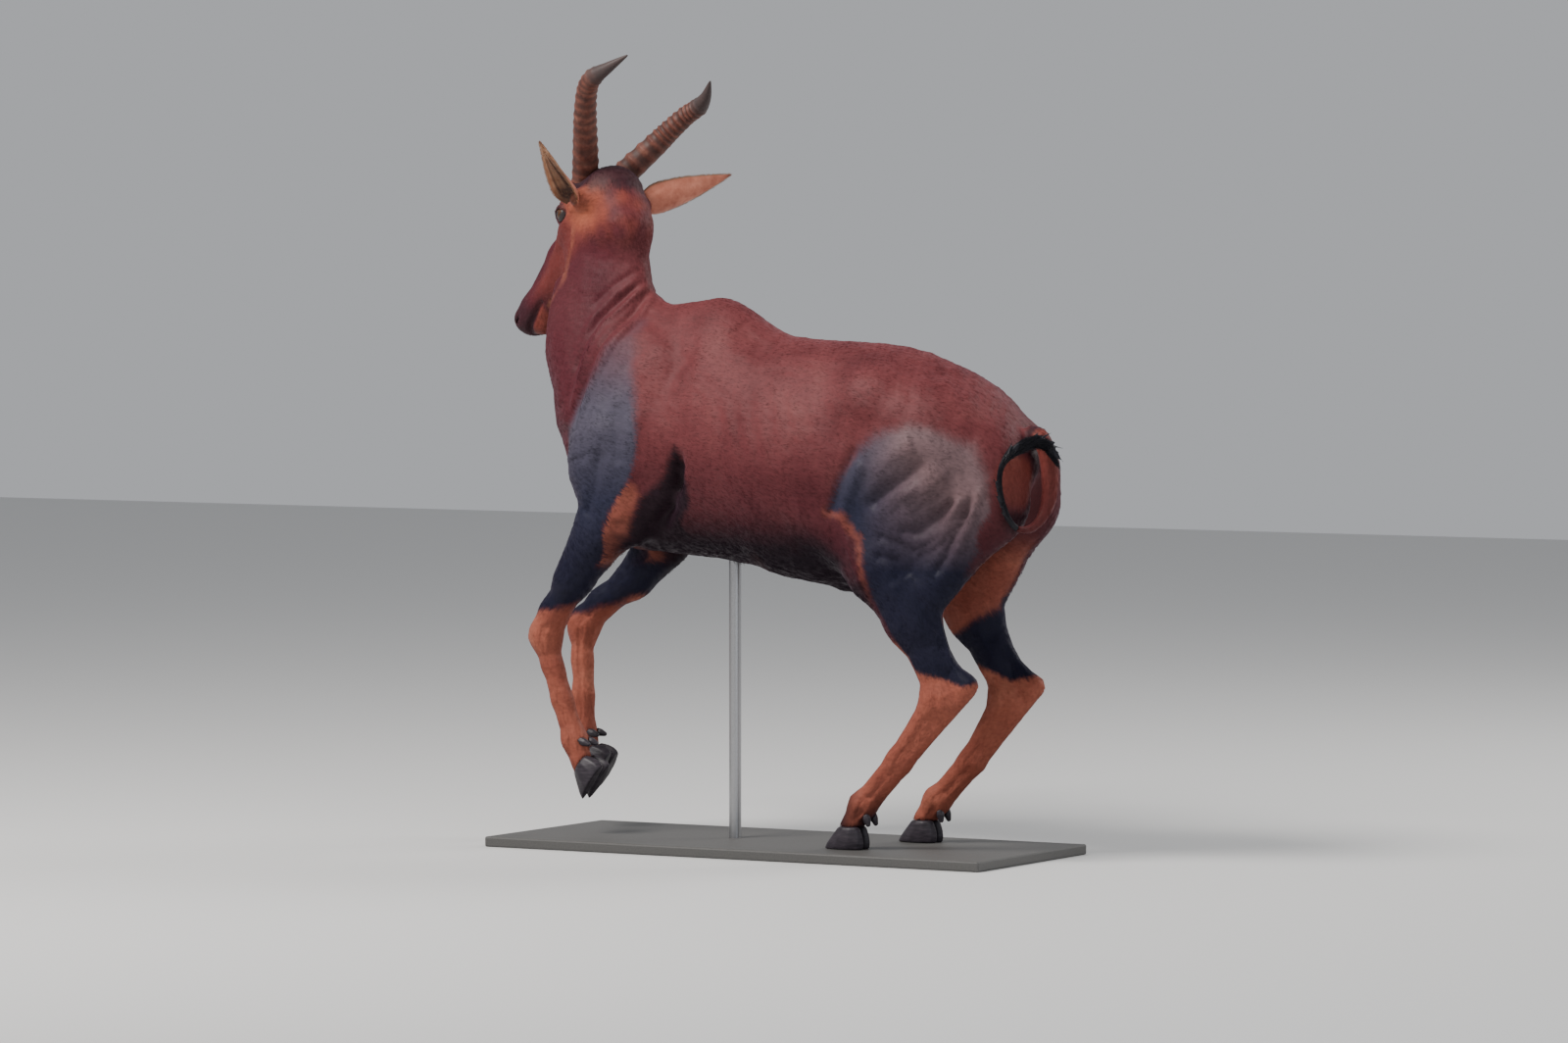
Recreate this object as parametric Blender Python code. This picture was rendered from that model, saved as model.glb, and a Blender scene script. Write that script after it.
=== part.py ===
# Life-size still model of a bull topi, a tall reddish antelope, rising off its forelegs.
# Metres, +Z up. The animal faces -X, its left side is -Y. The origin lies at the centre of
# the underside of the display base.
import math
import random

import bmesh
import bpy
import numpy as np
from mathutils import Matrix, Vector

# Overall sizes
BASE_LENGTH = 1.30
BASE_WIDTH = 0.52
BASE_THICK = 0.024
ROD_RADIUS = 0.014
REST = 0.0003
FLOOR_Z = BASE_THICK + REST

# Grid steps of the carved forms and the width of a parting cut
BODY_STEP = 0.0075
HEAD_STEP = 0.0036
BODY_TRIANGLES = 6000
HEAD_TRIANGLES = 2700
CUT = 0.0003

# The head's own frame: turned to the right, nose down, right side a little lower
HEAD_TURN = math.radians(22.0)
HEAD_PITCH = math.radians(47.0)
HEAD_ROLL = math.radians(9.0)
HEAD_AT = Vector((-0.527, 0.080, 1.537))

EYE_RADIUS = 0.0205
EYE_AT = (0.108, 0.0735, -0.044)
EAR_ROOT = (0.030, 0.0860, -0.078)


for thing in list(bpy.data.objects):
    bpy.data.objects.remove(thing, do_unlink=True)


def head_axes():
    turn = Vector((-math.cos(HEAD_TURN), math.sin(HEAD_TURN), 0.0))
    fore = turn * math.cos(HEAD_PITCH) + Vector((0, 0, -math.sin(HEAD_PITCH)))
    crown = turn * math.sin(HEAD_PITCH) + Vector((0, 0, math.cos(HEAD_PITCH)))
    left = Vector((-turn.y, turn.x, 0.0))
    lean = left * math.cos(HEAD_ROLL) + crown * math.sin(HEAD_ROLL)
    rise = crown * math.cos(HEAD_ROLL) - left * math.sin(HEAD_ROLL)
    return fore, lean, rise


FORE, LEFT, CROWN = head_axes()


def head_point(fore, left, crown):
    return HEAD_AT + FORE * fore + LEFT * left + CROWN * crown


def material(name, colour, rough, metallic=0.0):
    skin = bpy.data.materials.new(name)
    skin.use_nodes = True
    shader = skin.node_tree.nodes["Principled BSDF"]
    shader.inputs["Base Color"].default_value = (*colour, 1.0)
    shader.inputs["Roughness"].default_value = rough
    shader.inputs["Metallic"].default_value = metallic
    skin.diffuse_color = (*colour, 1.0)
    return skin


COAT = material("coat", (0.24, 0.075, 0.05), 0.6)
COAT_LEG = material("coat_leg", (0.36, 0.13, 0.055), 0.65)
COAT_DARK = material("coat_dark", (0.035, 0.03, 0.045), 0.6)
HORN = material("horn", (0.16, 0.085, 0.055), 0.5)
HOOF = material("hoof", (0.045, 0.04, 0.05), 0.4)
EYE = material("eye", (0.02, 0.012, 0.008), 0.08)
EAR = material("ear", (0.38, 0.16, 0.08), 0.65)
TAIL_HAIR = material("tail_hair", (0.012, 0.01, 0.012), 0.55)
STAND_BASE = material("stand_base", (0.08, 0.078, 0.075), 0.55)
STAND_ROD = material("stand_rod", (0.45, 0.45, 0.46), 0.3, 1.0)


def new_object(name, points, faces, skin=None):
    mesh = bpy.data.meshes.new(name)
    mesh.from_pydata([tuple(p) for p in points], [], faces)
    mesh.validate()
    mesh.update()
    thing = bpy.data.objects.new(name, mesh)
    bpy.context.scene.collection.objects.link(thing)
    if skin is not None:
        mesh.materials.append(skin)
    return thing


def smooth_faces(thing, angle=math.radians(50)):
    thing.data.polygons.foreach_set("use_smooth", [True] * len(thing.data.polygons))
    thing.data.set_sharp_from_angle(angle=angle)


# Soft solids: a distance field on a grid, filled piece by piece and read off as a mesh
class Field:
    def __init__(self, low, high, step):
        self.low = np.array(low, dtype=float)
        self.step = step
        count = np.ceil((np.array(high) - self.low) / step).astype(int) + 1
        self.count = count
        self.values = np.full(tuple(count), 0.2, dtype=np.float32)

    def window(self, low, high):
        first = np.floor((np.array(low) - self.low) / self.step).astype(int)
        last = np.ceil((np.array(high) - self.low) / self.step).astype(int) + 1
        first = np.clip(first, 0, self.count)
        last = np.clip(last, 0, self.count)
        if np.any(last <= first):
            return None, None
        axes = []
        for axis in range(3):
            steps = np.arange(first[axis], last[axis]) * self.step
            axes.append((steps + self.low[axis]).astype(np.float32))
        grid = np.meshgrid(*axes, indexing="ij")
        where = tuple(slice(first[a], last[a]) for a in range(3))
        return where, grid

    def blend(self, where, distance, soft, carve=False):
        old = self.values[where]
        if carve:
            mix = np.clip(0.5 + 0.5 * (old + distance) / soft, 0, 1)
            new = -distance * (1 - mix) + old * mix + soft * mix * (1 - mix)
        else:
            mix = np.clip(0.5 + 0.5 * (old - distance) / soft, 0, 1)
            new = old * (1 - mix) + distance * mix - soft * mix * (1 - mix)
        self.values[where] = new

    def cone(self, start, end, r_start, r_end, soft=0.03, flat=None, carve=False):
        start = np.array(start, dtype=float)
        end = np.array(end, dtype=float)
        reach = max(r_start, r_end) + soft + 3 * self.step
        where, grid = self.window(np.minimum(start, end) - reach, np.maximum(start, end) + reach)
        if where is None:
            return
        line = end - start
        length = max(float(line @ line), 1e-9)
        rel = [grid[a] - start[a] for a in range(3)]
        along = (rel[0] * line[0] + rel[1] * line[1] + rel[2] * line[2]) / length
        along = np.clip(along, 0, 1)
        off = [rel[a] - along * line[a] for a in range(3)]
        radius = r_start + along * (r_end - r_start)
        scale = 1.0
        if flat is not None:
            axis = np.array(flat[:3], dtype=float)
            axis /= np.linalg.norm(axis)
            part = off[0] * axis[0] + off[1] * axis[1] + off[2] * axis[2]
            grow = 1.0 / flat[3] - 1.0
            off = [off[a] + part * axis[a] * grow for a in range(3)]
            scale = min(1.0, 0.5 + 0.5 * flat[3])
        distance = np.sqrt(off[0] ** 2 + off[1] ** 2 + off[2] ** 2) - radius
        self.blend(where, distance * scale, soft, carve)

    def chain(self, stops, soft=0.03, flat=None, carve=False):
        for first, second in zip(stops, stops[1:]):
            self.cone(first[:3], second[:3], first[3], second[3], soft, flat, carve)

    def oval(self, centre, radii, axes=None, soft=0.03, carve=False):
        centre = np.array(centre, dtype=float)
        radii = np.array(radii, dtype=float)
        reach = radii.max() + soft + 3 * self.step
        where, grid = self.window(centre - reach, centre + reach)
        if where is None:
            return
        rel = [grid[a] - centre[a] for a in range(3)]
        if axes is not None:
            turned = []
            for axis in axes:
                axis = np.array(axis, dtype=float)
                axis /= np.linalg.norm(axis)
                turned.append(rel[0] * axis[0] + rel[1] * axis[1] + rel[2] * axis[2])
            rel = turned
        near = np.sqrt(sum((rel[a] / radii[a]) ** 2 for a in range(3)))
        slope = np.sqrt(sum((rel[a] / radii[a] ** 2) ** 2 for a in range(3)))
        distance = near * (near - 1.0) / np.maximum(slope, 1e-4)
        distance = np.where(near < 1e-3, -radii.min(), distance)
        self.blend(where, distance, soft, carve)

    def mesh(self, name):
        values = self.values.copy()
        for axis in range(3):
            edge = [slice(None)] * 3
            for end in (0, -1):
                edge[axis] = end
                values[tuple(edge)] = np.maximum(values[tuple(edge)], self.step * 0.5)
        inside = values < 0
        shape = np.array(values.shape) - 1
        total = np.zeros(tuple(shape) + (3,), dtype=np.float32)
        hits = np.zeros(tuple(shape), dtype=np.float32)
        corner = [(i, j, k) for i in (0, 1) for j in (0, 1) for k in (0, 1)]

        def part(array, offset):
            return array[tuple(slice(o, o + s) for o, s in zip(offset, shape))]

        for axis in range(3):
            for start in corner:
                if start[axis] == 1:
                    continue
                end = list(start)
                end[axis] = 1
                a = part(values, start)
                b = part(values, end)
                cross = (a < 0) != (b < 0)
                t = np.where(cross, a / np.where(cross, a - b, 1.0), 0.0)
                for comp in range(3):
                    where = t if comp == axis else np.float32(start[comp])
                    total[..., comp] += np.where(cross, where, 0.0)
                hits += cross
        used = hits > 0
        index = np.full(tuple(shape), -1, dtype=np.int64)
        index[used] = np.arange(int(used.sum()))
        cells = np.argwhere(used)
        points = self.low + (cells + total[used] / hits[used][:, None]) * self.step
        faces = []
        for axis in range(3):
            one = (axis + 1) % 3
            two = (axis + 2) % 3
            first = [slice(None)] * 3
            second = [slice(None)] * 3
            first[axis] = slice(0, -1)
            second[axis] = slice(1, None)
            change = inside[tuple(first)] != inside[tuple(second)]
            spots = np.argwhere(change)
            keep = (spots[:, one] > 0) & (spots[:, two] > 0)
            keep &= (spots[:, one] < shape[one]) & (spots[:, two] < shape[two])
            spots = spots[keep]
            around = []
            for back_one, back_two in ((0, 0), (1, 0), (1, 1), (0, 1)):
                cell = spots.copy()
                cell[:, one] -= back_one
                cell[:, two] -= back_two
                around.append(index[cell[:, 0], cell[:, 1], cell[:, 2]])
            quads = np.stack(around, axis=1)
            starts_in = inside[spots[:, 0], spots[:, 1], spots[:, 2]]
            quads[~starts_in] = quads[~starts_in][:, ::-1]
            faces.append(quads)
        quads = np.concatenate(faces)
        return new_object(name, points, [tuple(int(i) for i in q) for q in quads])


def ease(stations, at):
    # A smooth curve through hand-set stations: the first column is where, the rest what
    table = np.array(stations, dtype=float)
    at = np.clip(at, table[0, 0], table[-1, 0])
    spot = np.clip(np.searchsorted(table[:, 0], at) - 1, 0, len(table) - 2)
    slopes = np.gradient(table[:, 1:], table[:, 0], axis=0)
    gap = table[spot + 1, 0] - table[spot, 0]
    t = (at - table[spot, 0]) / gap
    result = []
    for col in range(1, table.shape[1]):
        a = table[spot, col]
        b = table[spot + 1, col]
        da = slopes[spot, col - 1] * gap
        db = slopes[spot + 1, col - 1] * gap
        curve = (2 * t ** 3 - 3 * t ** 2 + 1) * a + (t ** 3 - 2 * t ** 2 + t) * da
        curve += (-2 * t ** 3 + 3 * t ** 2) * b + (t ** 3 - t ** 2) * db
        result.append(curve.astype(np.float32))
    return result


# Trunk stations along X: back line, under line, half width, height of the widest place
# (0 under line, 1 back line), and how much the top narrows to a ridge
TRUNK = [
    (-0.600, 1.000, 0.940, 0.020, 0.5, 0.1),
    (-0.575, 1.050, 0.885, 0.055, 0.5, 0.2),
    (-0.540, 1.110, 0.820, 0.088, 0.5, 0.3),
    (-0.490, 1.160, 0.745, 0.118, 0.48, 0.4),
    (-0.420, 1.200, 0.675, 0.152, 0.45, 0.55),
    (-0.310, 1.226, 0.655, 0.165, 0.42, 0.70),
    (-0.220, 1.240, 0.648, 0.176, 0.42, 0.78),
    (-0.150, 1.246, 0.642, 0.188, 0.42, 0.80),
    (-0.100, 1.226, 0.635, 0.196, 0.42, 0.72),
    (-0.050, 1.193, 0.627, 0.204, 0.44, 0.60),
    (0.000, 1.166, 0.611, 0.212, 0.45, 0.45),
    (0.060, 1.156, 0.600, 0.218, 0.46, 0.36),
    (0.160, 1.151, 0.589, 0.218, 0.47, 0.32),
    (0.273, 1.145, 0.599, 0.203, 0.50, 0.34),
    (0.350, 1.134, 0.640, 0.190, 0.52, 0.36),
    (0.430, 1.107, 0.690, 0.178, 0.52, 0.38),
    (0.500, 1.076, 0.735, 0.165, 0.52, 0.40),
    (0.567, 1.028, 0.765, 0.146, 0.52, 0.40),
    (0.620, 0.973, 0.790, 0.118, 0.52, 0.35),
    (0.655, 0.925, 0.820, 0.080, 0.5, 0.25),
    (0.672, 0.895, 0.850, 0.030, 0.5, 0.1),
]

# Neck stations up Z: centre X, centre Y, half depth, half width, turn in degrees
NECK = [
    (0.960, -0.420, 0.000, 0.150, 0.125, 0),
    (1.040, -0.436, 0.000, 0.166, 0.120, 0),
    (1.110, -0.462, 0.002, 0.164, 0.105, 2),
    (1.180, -0.480, 0.008, 0.150, 0.092, 6),
    (1.230, -0.486, 0.016, 0.136, 0.085, 10),
    (1.290, -0.484, 0.030, 0.121, 0.080, 14),
    (1.350, -0.490, 0.046, 0.112, 0.076, 18),
    (1.410, -0.492, 0.062, 0.104, 0.072, 21),
    (1.460, -0.490, 0.074, 0.085, 0.062, 22),
    (1.500, -0.492, 0.080, 0.055, 0.045, 22),
]


def add_trunk(field):
    where, grid = field.window((-0.68, -0.29, 0.52), (0.73, 0.29, 1.32))
    x, y, z = grid
    flat_x = x[:, 0, 0].astype(float)
    top, low, wide, height, ridge = ease(TRUNK, flat_x)
    shape = (-1, 1, 1)
    top, low, wide, height, ridge = [v.reshape(shape) for v in (top, low, wide, height, ridge)]
    middle = low + (top - low) * height
    up = z > middle
    half = np.where(up, top - middle, middle - low)
    rise = np.clip(np.abs(z - middle) / half, 0, 1.4)
    narrow = np.where(up, 1 - ridge * 0.55 * rise ** 1.6, 1 - 0.10 * rise)
    power = 2.15
    across = np.abs(y) / (wide * narrow)
    near = (across ** power + rise ** power) ** (1 / power)
    distance = (near - 1.0) * np.minimum(wide, half) * 0.8
    ends = np.maximum(-0.600 - x, 0) + np.maximum(x - 0.672, 0)
    distance = np.where(ends > 0, np.maximum(distance, ends), distance)
    field.blend(where, distance, 0.02)


def add_neck(field):
    where, grid = field.window((-0.78, -0.20, 0.94), (-0.20, 0.28, 1.53))
    x, y, z = grid
    flat_z = z[0, 0, :].astype(float)
    mid_x, mid_y, deep, wide, turn = [v.reshape((1, 1, -1)) for v in ease(NECK, flat_z)]
    turn = np.radians(turn)
    rel_x = x - mid_x
    rel_y = y - mid_y
    along = -rel_x * np.cos(turn) + rel_y * np.sin(turn)
    side = rel_x * np.sin(turn) + rel_y * np.cos(turn)
    # The nape is narrower than the throat
    taper = 1.0 - 0.22 * np.clip(-along / deep, -0.6, 1.0)
    near = np.sqrt((along / deep) ** 2 + (side / (wide * taper)) ** 2)
    distance = (near - 1.0) * wide * 0.9
    ends = np.maximum(z - 1.50, 0) + np.maximum(0.96 - z, 0)
    distance = np.where(ends > 0, np.maximum(distance, ends), distance)
    field.blend(where, distance, 0.045)


def fore_leg(field, side, joints):
    # joints: elbow, mid forearm, above knee, knee, below knee, mid cannon, fetlock, coronet
    elbow, mid, above, knee, below, cannon, fetlock, coronet = joints
    field.chain([
        (*elbow, 0.060), (*mid, 0.042), (*above, 0.033), (*knee, 0.036),
    ], 0.022)
    field.oval(knee, (0.038, 0.034, 0.046), soft=0.02)
    field.chain([(*knee, 0.032), (*below, 0.0245), (*cannon, 0.0235), (*fetlock, 0.026)], 0.016)
    field.oval(fetlock, (0.032, 0.030, 0.033), soft=0.014)
    field.chain([(*fetlock, 0.026), (*coronet, 0.027)], 0.014)
    # Tendons behind the cannon, muscle in front of the forearm
    back = Vector((0.012, 0, -0.002))
    field.chain([
        (*(Vector(below) + back), 0.016), (*(Vector(cannon) + back), 0.016),
        (*(Vector(fetlock) + back), 0.018),
    ], 0.014)
    front = Vector((-0.022, 0.008 * side, 0.0))
    field.cone(Vector(elbow) + front + Vector((0, 0, 0.03)), Vector(mid) + front * 0.7,
               0.042, 0.028, 0.02)
    rear = Vector((0.026, -0.004 * side, 0.0))
    field.cone(Vector(elbow) + rear, Vector(mid) + rear * 0.5, 0.038, 0.026, 0.02)


def hind_leg(field, side, joints):
    # joints: hip, stifle, mid gaskin, above hock, hock, point, mid cannon, fetlock, coronet
    hip, stifle, gaskin, above, hock, point, cannon, fetlock, coronet = joints
    hip, stifle, gaskin, hock, point = [Vector(v) for v in (hip, stifle, gaskin, hock, point)]
    field.cone(hip, stifle, 0.125, 0.080, 0.05, (0, 1, 0, 0.72))
    buttock = Vector((0.590, hip.y * 0.83, 0.830))
    field.oval(buttock, (0.075, 0.072, 0.120), soft=0.05)
    field.cone(buttock + Vector((-0.02, 0, -0.05)), gaskin + Vector((0.030, 0, 0.05)),
               0.080, 0.052, 0.05, (0, 1, 0, 0.82))
    field.chain([(*stifle, 0.074), (*gaskin, 0.056), (*above, 0.036), (*hock, 0.036)], 0.03,
                (0, 1, 0, 0.82))
    # Achilles tendon up from the point of the hock
    field.chain([(*(gaskin + Vector((0.050, 0, 0.005))), 0.026),
                 (*(Vector(above) + Vector((0.042, 0, 0.005))), 0.0145), (*point, 0.0185)], 0.016)
    field.cone(point, hock, 0.020, 0.034, 0.022, (0, 1, 0, 0.8))
    field.oval(hock, (0.043, 0.033, 0.046), soft=0.02)
    field.chain([(*hock, 0.034), (*cannon, 0.0265), (*fetlock, 0.027)], 0.018)
    rear = Vector((0.016, 0, -0.012))
    field.chain([(*(point + Vector((-0.010, 0, -0.020))), 0.019),
                 (*(Vector(cannon) + rear), 0.017), (*(Vector(fetlock) + rear * 0.7), 0.019)], 0.014)
    field.oval(fetlock, (0.034, 0.031, 0.034), soft=0.014)
    field.chain([(*fetlock, 0.027), (*coronet, 0.028)], 0.014)


HORN_LEFT = [(-0.566, 0.052, 1.478), (-0.555, 0.036, 1.533), (-0.526, -0.012, 1.610),
             (-0.500, -0.055, 1.672), (-0.472, -0.092, 1.725), (-0.445, -0.110, 1.752),
             (-0.399, -0.118, 1.775), (-0.348, -0.116, 1.803)]
HORN_RIGHT = [(-0.538, 0.106, 1.484), (-0.494, 0.120, 1.533), (-0.431, 0.152, 1.600),
              (-0.398, 0.163, 1.633), (-0.357, 0.164, 1.665), (-0.322, 0.156, 1.683),
              (-0.288, 0.134, 1.708), (-0.262, 0.112, 1.745)]
FORE_LEFT = [
    (-0.412, -0.122, 0.700), (-0.494, -0.116, 0.592), (-0.553, -0.108, 0.514),
    (-0.580, -0.102, 0.460), (-0.566, -0.098, 0.392), (-0.544, -0.092, 0.310),
    (-0.514, -0.084, 0.218), (-0.492, -0.082, 0.160),
]
FORE_RIGHT = [
    (-0.385, 0.118, 0.672), (-0.470, 0.110, 0.580), (-0.550, 0.104, 0.528),
    (-0.600, 0.100, 0.472), (-0.602, 0.095, 0.392), (-0.598, 0.090, 0.310),
    (-0.594, 0.086, 0.222), (-0.570, 0.084, 0.172),
]
HIND_LEFT = [
    (0.430, -0.095, 0.900), (0.335, -0.130, 0.640), (0.405, -0.128, 0.520),
    (0.455, -0.124, 0.430), (0.474, -0.120, 0.350), (0.548, -0.118, 0.382),
    (0.368, -0.120, 0.208), (0.276, -0.120, 0.102), (0.246, -0.120, 0.0515),
]
HIND_RIGHT = [
    (0.430, 0.095, 0.900), (0.350, 0.130, 0.635), (0.425, 0.128, 0.520),
    (0.480, 0.124, 0.430), (0.520, 0.120, 0.340), (0.592, 0.118, 0.368),
    (0.425, 0.120, 0.195), (0.336, 0.120, 0.098), (0.304, 0.120, 0.0515),
]


def body_field():
    field = Field((-0.90, -0.29, 0.00), (0.76, 0.34, 1.62), BODY_STEP)
    add_trunk(field)
    add_neck(field)
    head_shape(field)
    for side, elbow in ((-1, FORE_LEFT[0]), (1, FORE_RIGHT[0])):
        # Shoulder blade, shoulder, upper arm and triceps
        field.oval((-0.290, side * 0.112, 1.020), (0.080, 0.040, 0.165),
                   [(1, 0, 0.45), (0, 1, side * 0.25), (-0.45, side * -0.25, 1)], 0.04)
        field.oval((-0.400, side * 0.116, 0.865), (0.078, 0.058, 0.110),
                   [(1, 0, 0.3), (0, 1, 0), (-0.3, 0, 1)], 0.045)
        field.cone((-0.425, side * 0.105, 0.850), (elbow[0] + 0.025, side * 0.118, 0.735),
                   0.076, 0.064, 0.04)
        field.cone((-0.290, side * 0.115, 0.930), (elbow[0] + 0.075, side * 0.118, 0.715),
                   0.080, 0.040, 0.035, (0, 1, 0, 0.72))
        # Breast muscle and the fold of the elbow
        field.oval((-0.450, side * 0.050, 0.880), (0.072, 0.058, 0.105), soft=0.04)
        # Muscle from the neck down over the front of the shoulder blade
        field.cone((-0.400, side * 0.070, 1.110), (-0.400, side * 0.120, 0.940), 0.060, 0.050, 0.05)
        # Haunch and point of the hip
        field.oval((0.300, side * 0.120, 1.020), (0.055, 0.040, 0.050), soft=0.08)
        field.oval((0.420, side * 0.090, 0.920), (0.140, 0.082, 0.135), soft=0.05)
        # Flank fold from belly to stifle
        field.cone((0.170, side * 0.150, 0.760), (0.300, side * 0.135, 0.650), 0.040, 0.050, 0.05)
    fore_leg(field, -1, FORE_LEFT)
    fore_leg(field, 1, FORE_RIGHT)
    hind_leg(field, -1, HIND_LEFT)
    hind_leg(field, 1, HIND_RIGHT)
    # Sheath under the belly
    field.cone((0.170, 0, 0.610), (0.232, 0, 0.588), 0.032, 0.017, 0.022)
    # Hollow of the chest wall behind each elbow
    for side in (-1, 1):
        places = [(-0.174, side * 0.196, 0.888), (-0.200, side * 0.193, 0.815),
                  (-0.238, side * 0.186, 0.745), (-0.262, side * 0.176, 0.690)]
        for first, second, near, far in zip(places, places[1:], (0.014, 0.026, 0.036),
                                            (0.026, 0.036, 0.042)):
            field.cone(first, second, near, far, 0.018, carve=True)
    # Cleft between the buttocks under the tail, and the groin
    field.cone((0.690, 0, 0.870), (0.600, 0, 0.660), 0.014, 0.030, 0.03, carve=True)
    return field


def head_shape(field):
    def at(*place):
        return tuple(head_point(*place))

    axes = [tuple(FORE), tuple(LEFT), tuple(CROWN)]

    def oval(place, radii, soft=0.02, tilt=0.0, carve=False):
        fore = FORE * math.cos(tilt) + CROWN * math.sin(tilt)
        crown = CROWN * math.cos(tilt) - FORE * math.sin(tilt)
        turned = [tuple(fore), axes[1], tuple(crown)]
        field.oval(at(*place), radii, turned, soft, carve)

    def cone(a, b, ra, rb, soft=0.02, flat=None, carve=False):
        field.cone(at(*a), at(*b), ra, rb, soft, flat, carve)

    # Braincase and the raised crest that carries the horns
    oval((0.022, 0, -0.068), (0.070, 0.065, 0.054))
    oval((-0.002, 0, -0.046), (0.036, 0.064, 0.026), 0.02)
    # Forehead, bridge of the nose, muzzle
    oval((0.095, 0, -0.055), (0.085, 0.066, 0.052))
    cone((0.110, 0, -0.044), (0.250, 0, -0.036), 0.052, 0.041, 0.02)
    cone((0.250, 0, -0.034), (0.410, 0, -0.032), 0.043, 0.036, 0.02)
    oval((0.420, 0, -0.046), (0.058, 0.048, 0.048), 0.02)
    oval((0.450, 0, -0.038), (0.033, 0.047, 0.038), 0.012)
    for side in (-1, 1):
        # Brow and rim of the eye, cheek bone, chewing muscle, jaw
        oval((0.098, side * 0.060, -0.034), (0.040, 0.027, 0.026), 0.016)
        oval((0.077, side * 0.071, -0.050), (0.016, 0.018, 0.028), 0.012)
        oval((0.106, side * 0.062, -0.073), (0.032, 0.020, 0.017), 0.012)
        cone((0.118, side * 0.060, -0.064), (0.245, side * 0.036, -0.062), 0.026, 0.017, 0.018)
        oval((0.102, side * 0.052, -0.108), (0.076, 0.028, 0.060), 0.026, -0.35)
        cone((0.070, side * 0.038, -0.150), (0.200, side * 0.024, -0.132), 0.027, 0.024, 0.026)
        cone((0.200, side * 0.024, -0.130), (0.370, side * 0.010, -0.084), 0.025, 0.018, 0.022)
        cone((0.200, side * 0.026, -0.092), (0.380, side * 0.024, -0.060), 0.032, 0.024, 0.024)
        # Rise at the root of the ear, and the bony root of the horn
        cone((0.020, side * 0.050, -0.074), (0.029, side * 0.084, -0.078), 0.032, 0.023, 0.02)
        stops = HORN_LEFT if side > 0 else HORN_RIGHT
        root = Vector(stops[0])
        field.cone(root, root.lerp(Vector(stops[1]), 0.36), 0.041, 0.0370, 0.018)
    # Throat, chin and lower lip
    cone((0.060, 0, -0.135), (0.200, 0, -0.120), 0.050, 0.032, 0.03)
    cone((0.320, 0, -0.092), (0.418, 0, -0.090), 0.023, 0.0220, 0.014)
    # Nape into the neck
    cone((-0.004, 0, -0.076), (0.020, 0, -0.170), 0.046, 0.060, 0.04)
    for side in (-1, 1):
        # Hollow for the eyeball, hollow of the temple, tear groove
        oval((EYE_AT[0], side * EYE_AT[1], EYE_AT[2]), (EYE_RADIUS + 0.0012,) * 3, 0.003, 0, True)
        cone((0.132, side * 0.073, -0.060), (0.165, side * 0.058, -0.068), 0.004, 0.003, 0.006,
             carve=True)
        # Lids: a rim round the eye, heavier above
        for turn in range(-2, 12):
            a = math.radians(turn * 18.0)
            b = math.radians((turn + 1) * 18.0)
            upper = 0.0056 if 0 <= turn < 10 else 0.0042

            def rim(angle):
                up = math.sin(angle)
                high = 0.0138 * up if up > 0 else 0.0115 * up
                fore = 0.0205 * math.cos(angle)
                out = 0.0150 - 0.0060 * math.cos(angle) ** 2 + 0.0050 * math.cos(angle)
                return (EYE_AT[0] + 0.004 - fore, side * (EYE_AT[1] + out), EYE_AT[2] + high)

            cone(rim(a), rim(b), upper, upper, 0.005)
        # Nostril and the corner of the lips
        cone((0.470, side * 0.019, -0.030), (0.456, side * 0.036, -0.040), 0.0060, 0.0075, 0.004,
             carve=True)
        cone((0.456, side * 0.036, -0.040), (0.432, side * 0.046, -0.044), 0.0075, 0.0030, 0.004,
             carve=True)
        mouth = [(0.466, 0.003, -0.076), (0.453, 0.018, -0.077), (0.427, 0.031, -0.079),
                 (0.392, 0.0360, -0.082), (0.348, 0.041, -0.088)]
        for a, b in zip(mouth, mouth[1:]):
            cone((a[0], side * a[1], a[2]), (b[0], side * b[1], b[2]), 0.0070, 0.0066, 0.002,
                 carve=True)
    # Groove down the front of the upper lip
    cone((0.470, 0, -0.034), (0.463, 0, -0.062), 0.0032, 0.0032, 0.004, carve=True)


def head_field():
    field = Field((-0.90, -0.10, 1.10), (-0.34, 0.34, 1.62), HEAD_STEP)
    add_neck(field)
    head_shape(field)
    return field


def apply_modifiers(thing):
    graph = bpy.context.evaluated_depsgraph_get()
    mesh = bpy.data.meshes.new_from_object(thing.evaluated_get(graph))
    thing.modifiers.clear()
    old = thing.data
    thing.data = mesh
    if old.users == 0:
        bpy.data.meshes.remove(old)


def is_closed(mesh):
    bm = bmesh.new()
    bm.from_mesh(mesh)
    closed = all(len(edge.link_faces) == 2 for edge in bm.edges)
    closed = closed and all(edge.calc_face_angle(0) < 3.05 for edge in bm.edges)
    bm.free()
    return closed


def tidy_mesh(thing, target, step):
    skin = thing.modifiers.new("skin", "REMESH")
    skin.mode = "VOXEL"
    skin.voxel_size = step * 0.9
    apply_modifiers(thing)
    soften = thing.modifiers.new("soften", "SMOOTH")
    soften.factor = 0.5
    soften.iterations = 2
    apply_modifiers(thing)
    fine = thing.data
    sides = sum(len(p.vertices) - 2 for p in fine.polygons)
    # A slightly different count is tried where the thinned surface doesn't close
    for extra in range(0, 400, 20):
        thing.data = fine.copy()
        thin = thing.modifiers.new("thin", "DECIMATE")
        thin.ratio = min(1.0, (target + extra) / sides)
        apply_modifiers(thing)
        if is_closed(thing.data):
            break


def copy_of(thing, name):
    other = bpy.data.objects.new(name, thing.data.copy())
    bpy.context.scene.collection.objects.link(other)
    return other


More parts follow.
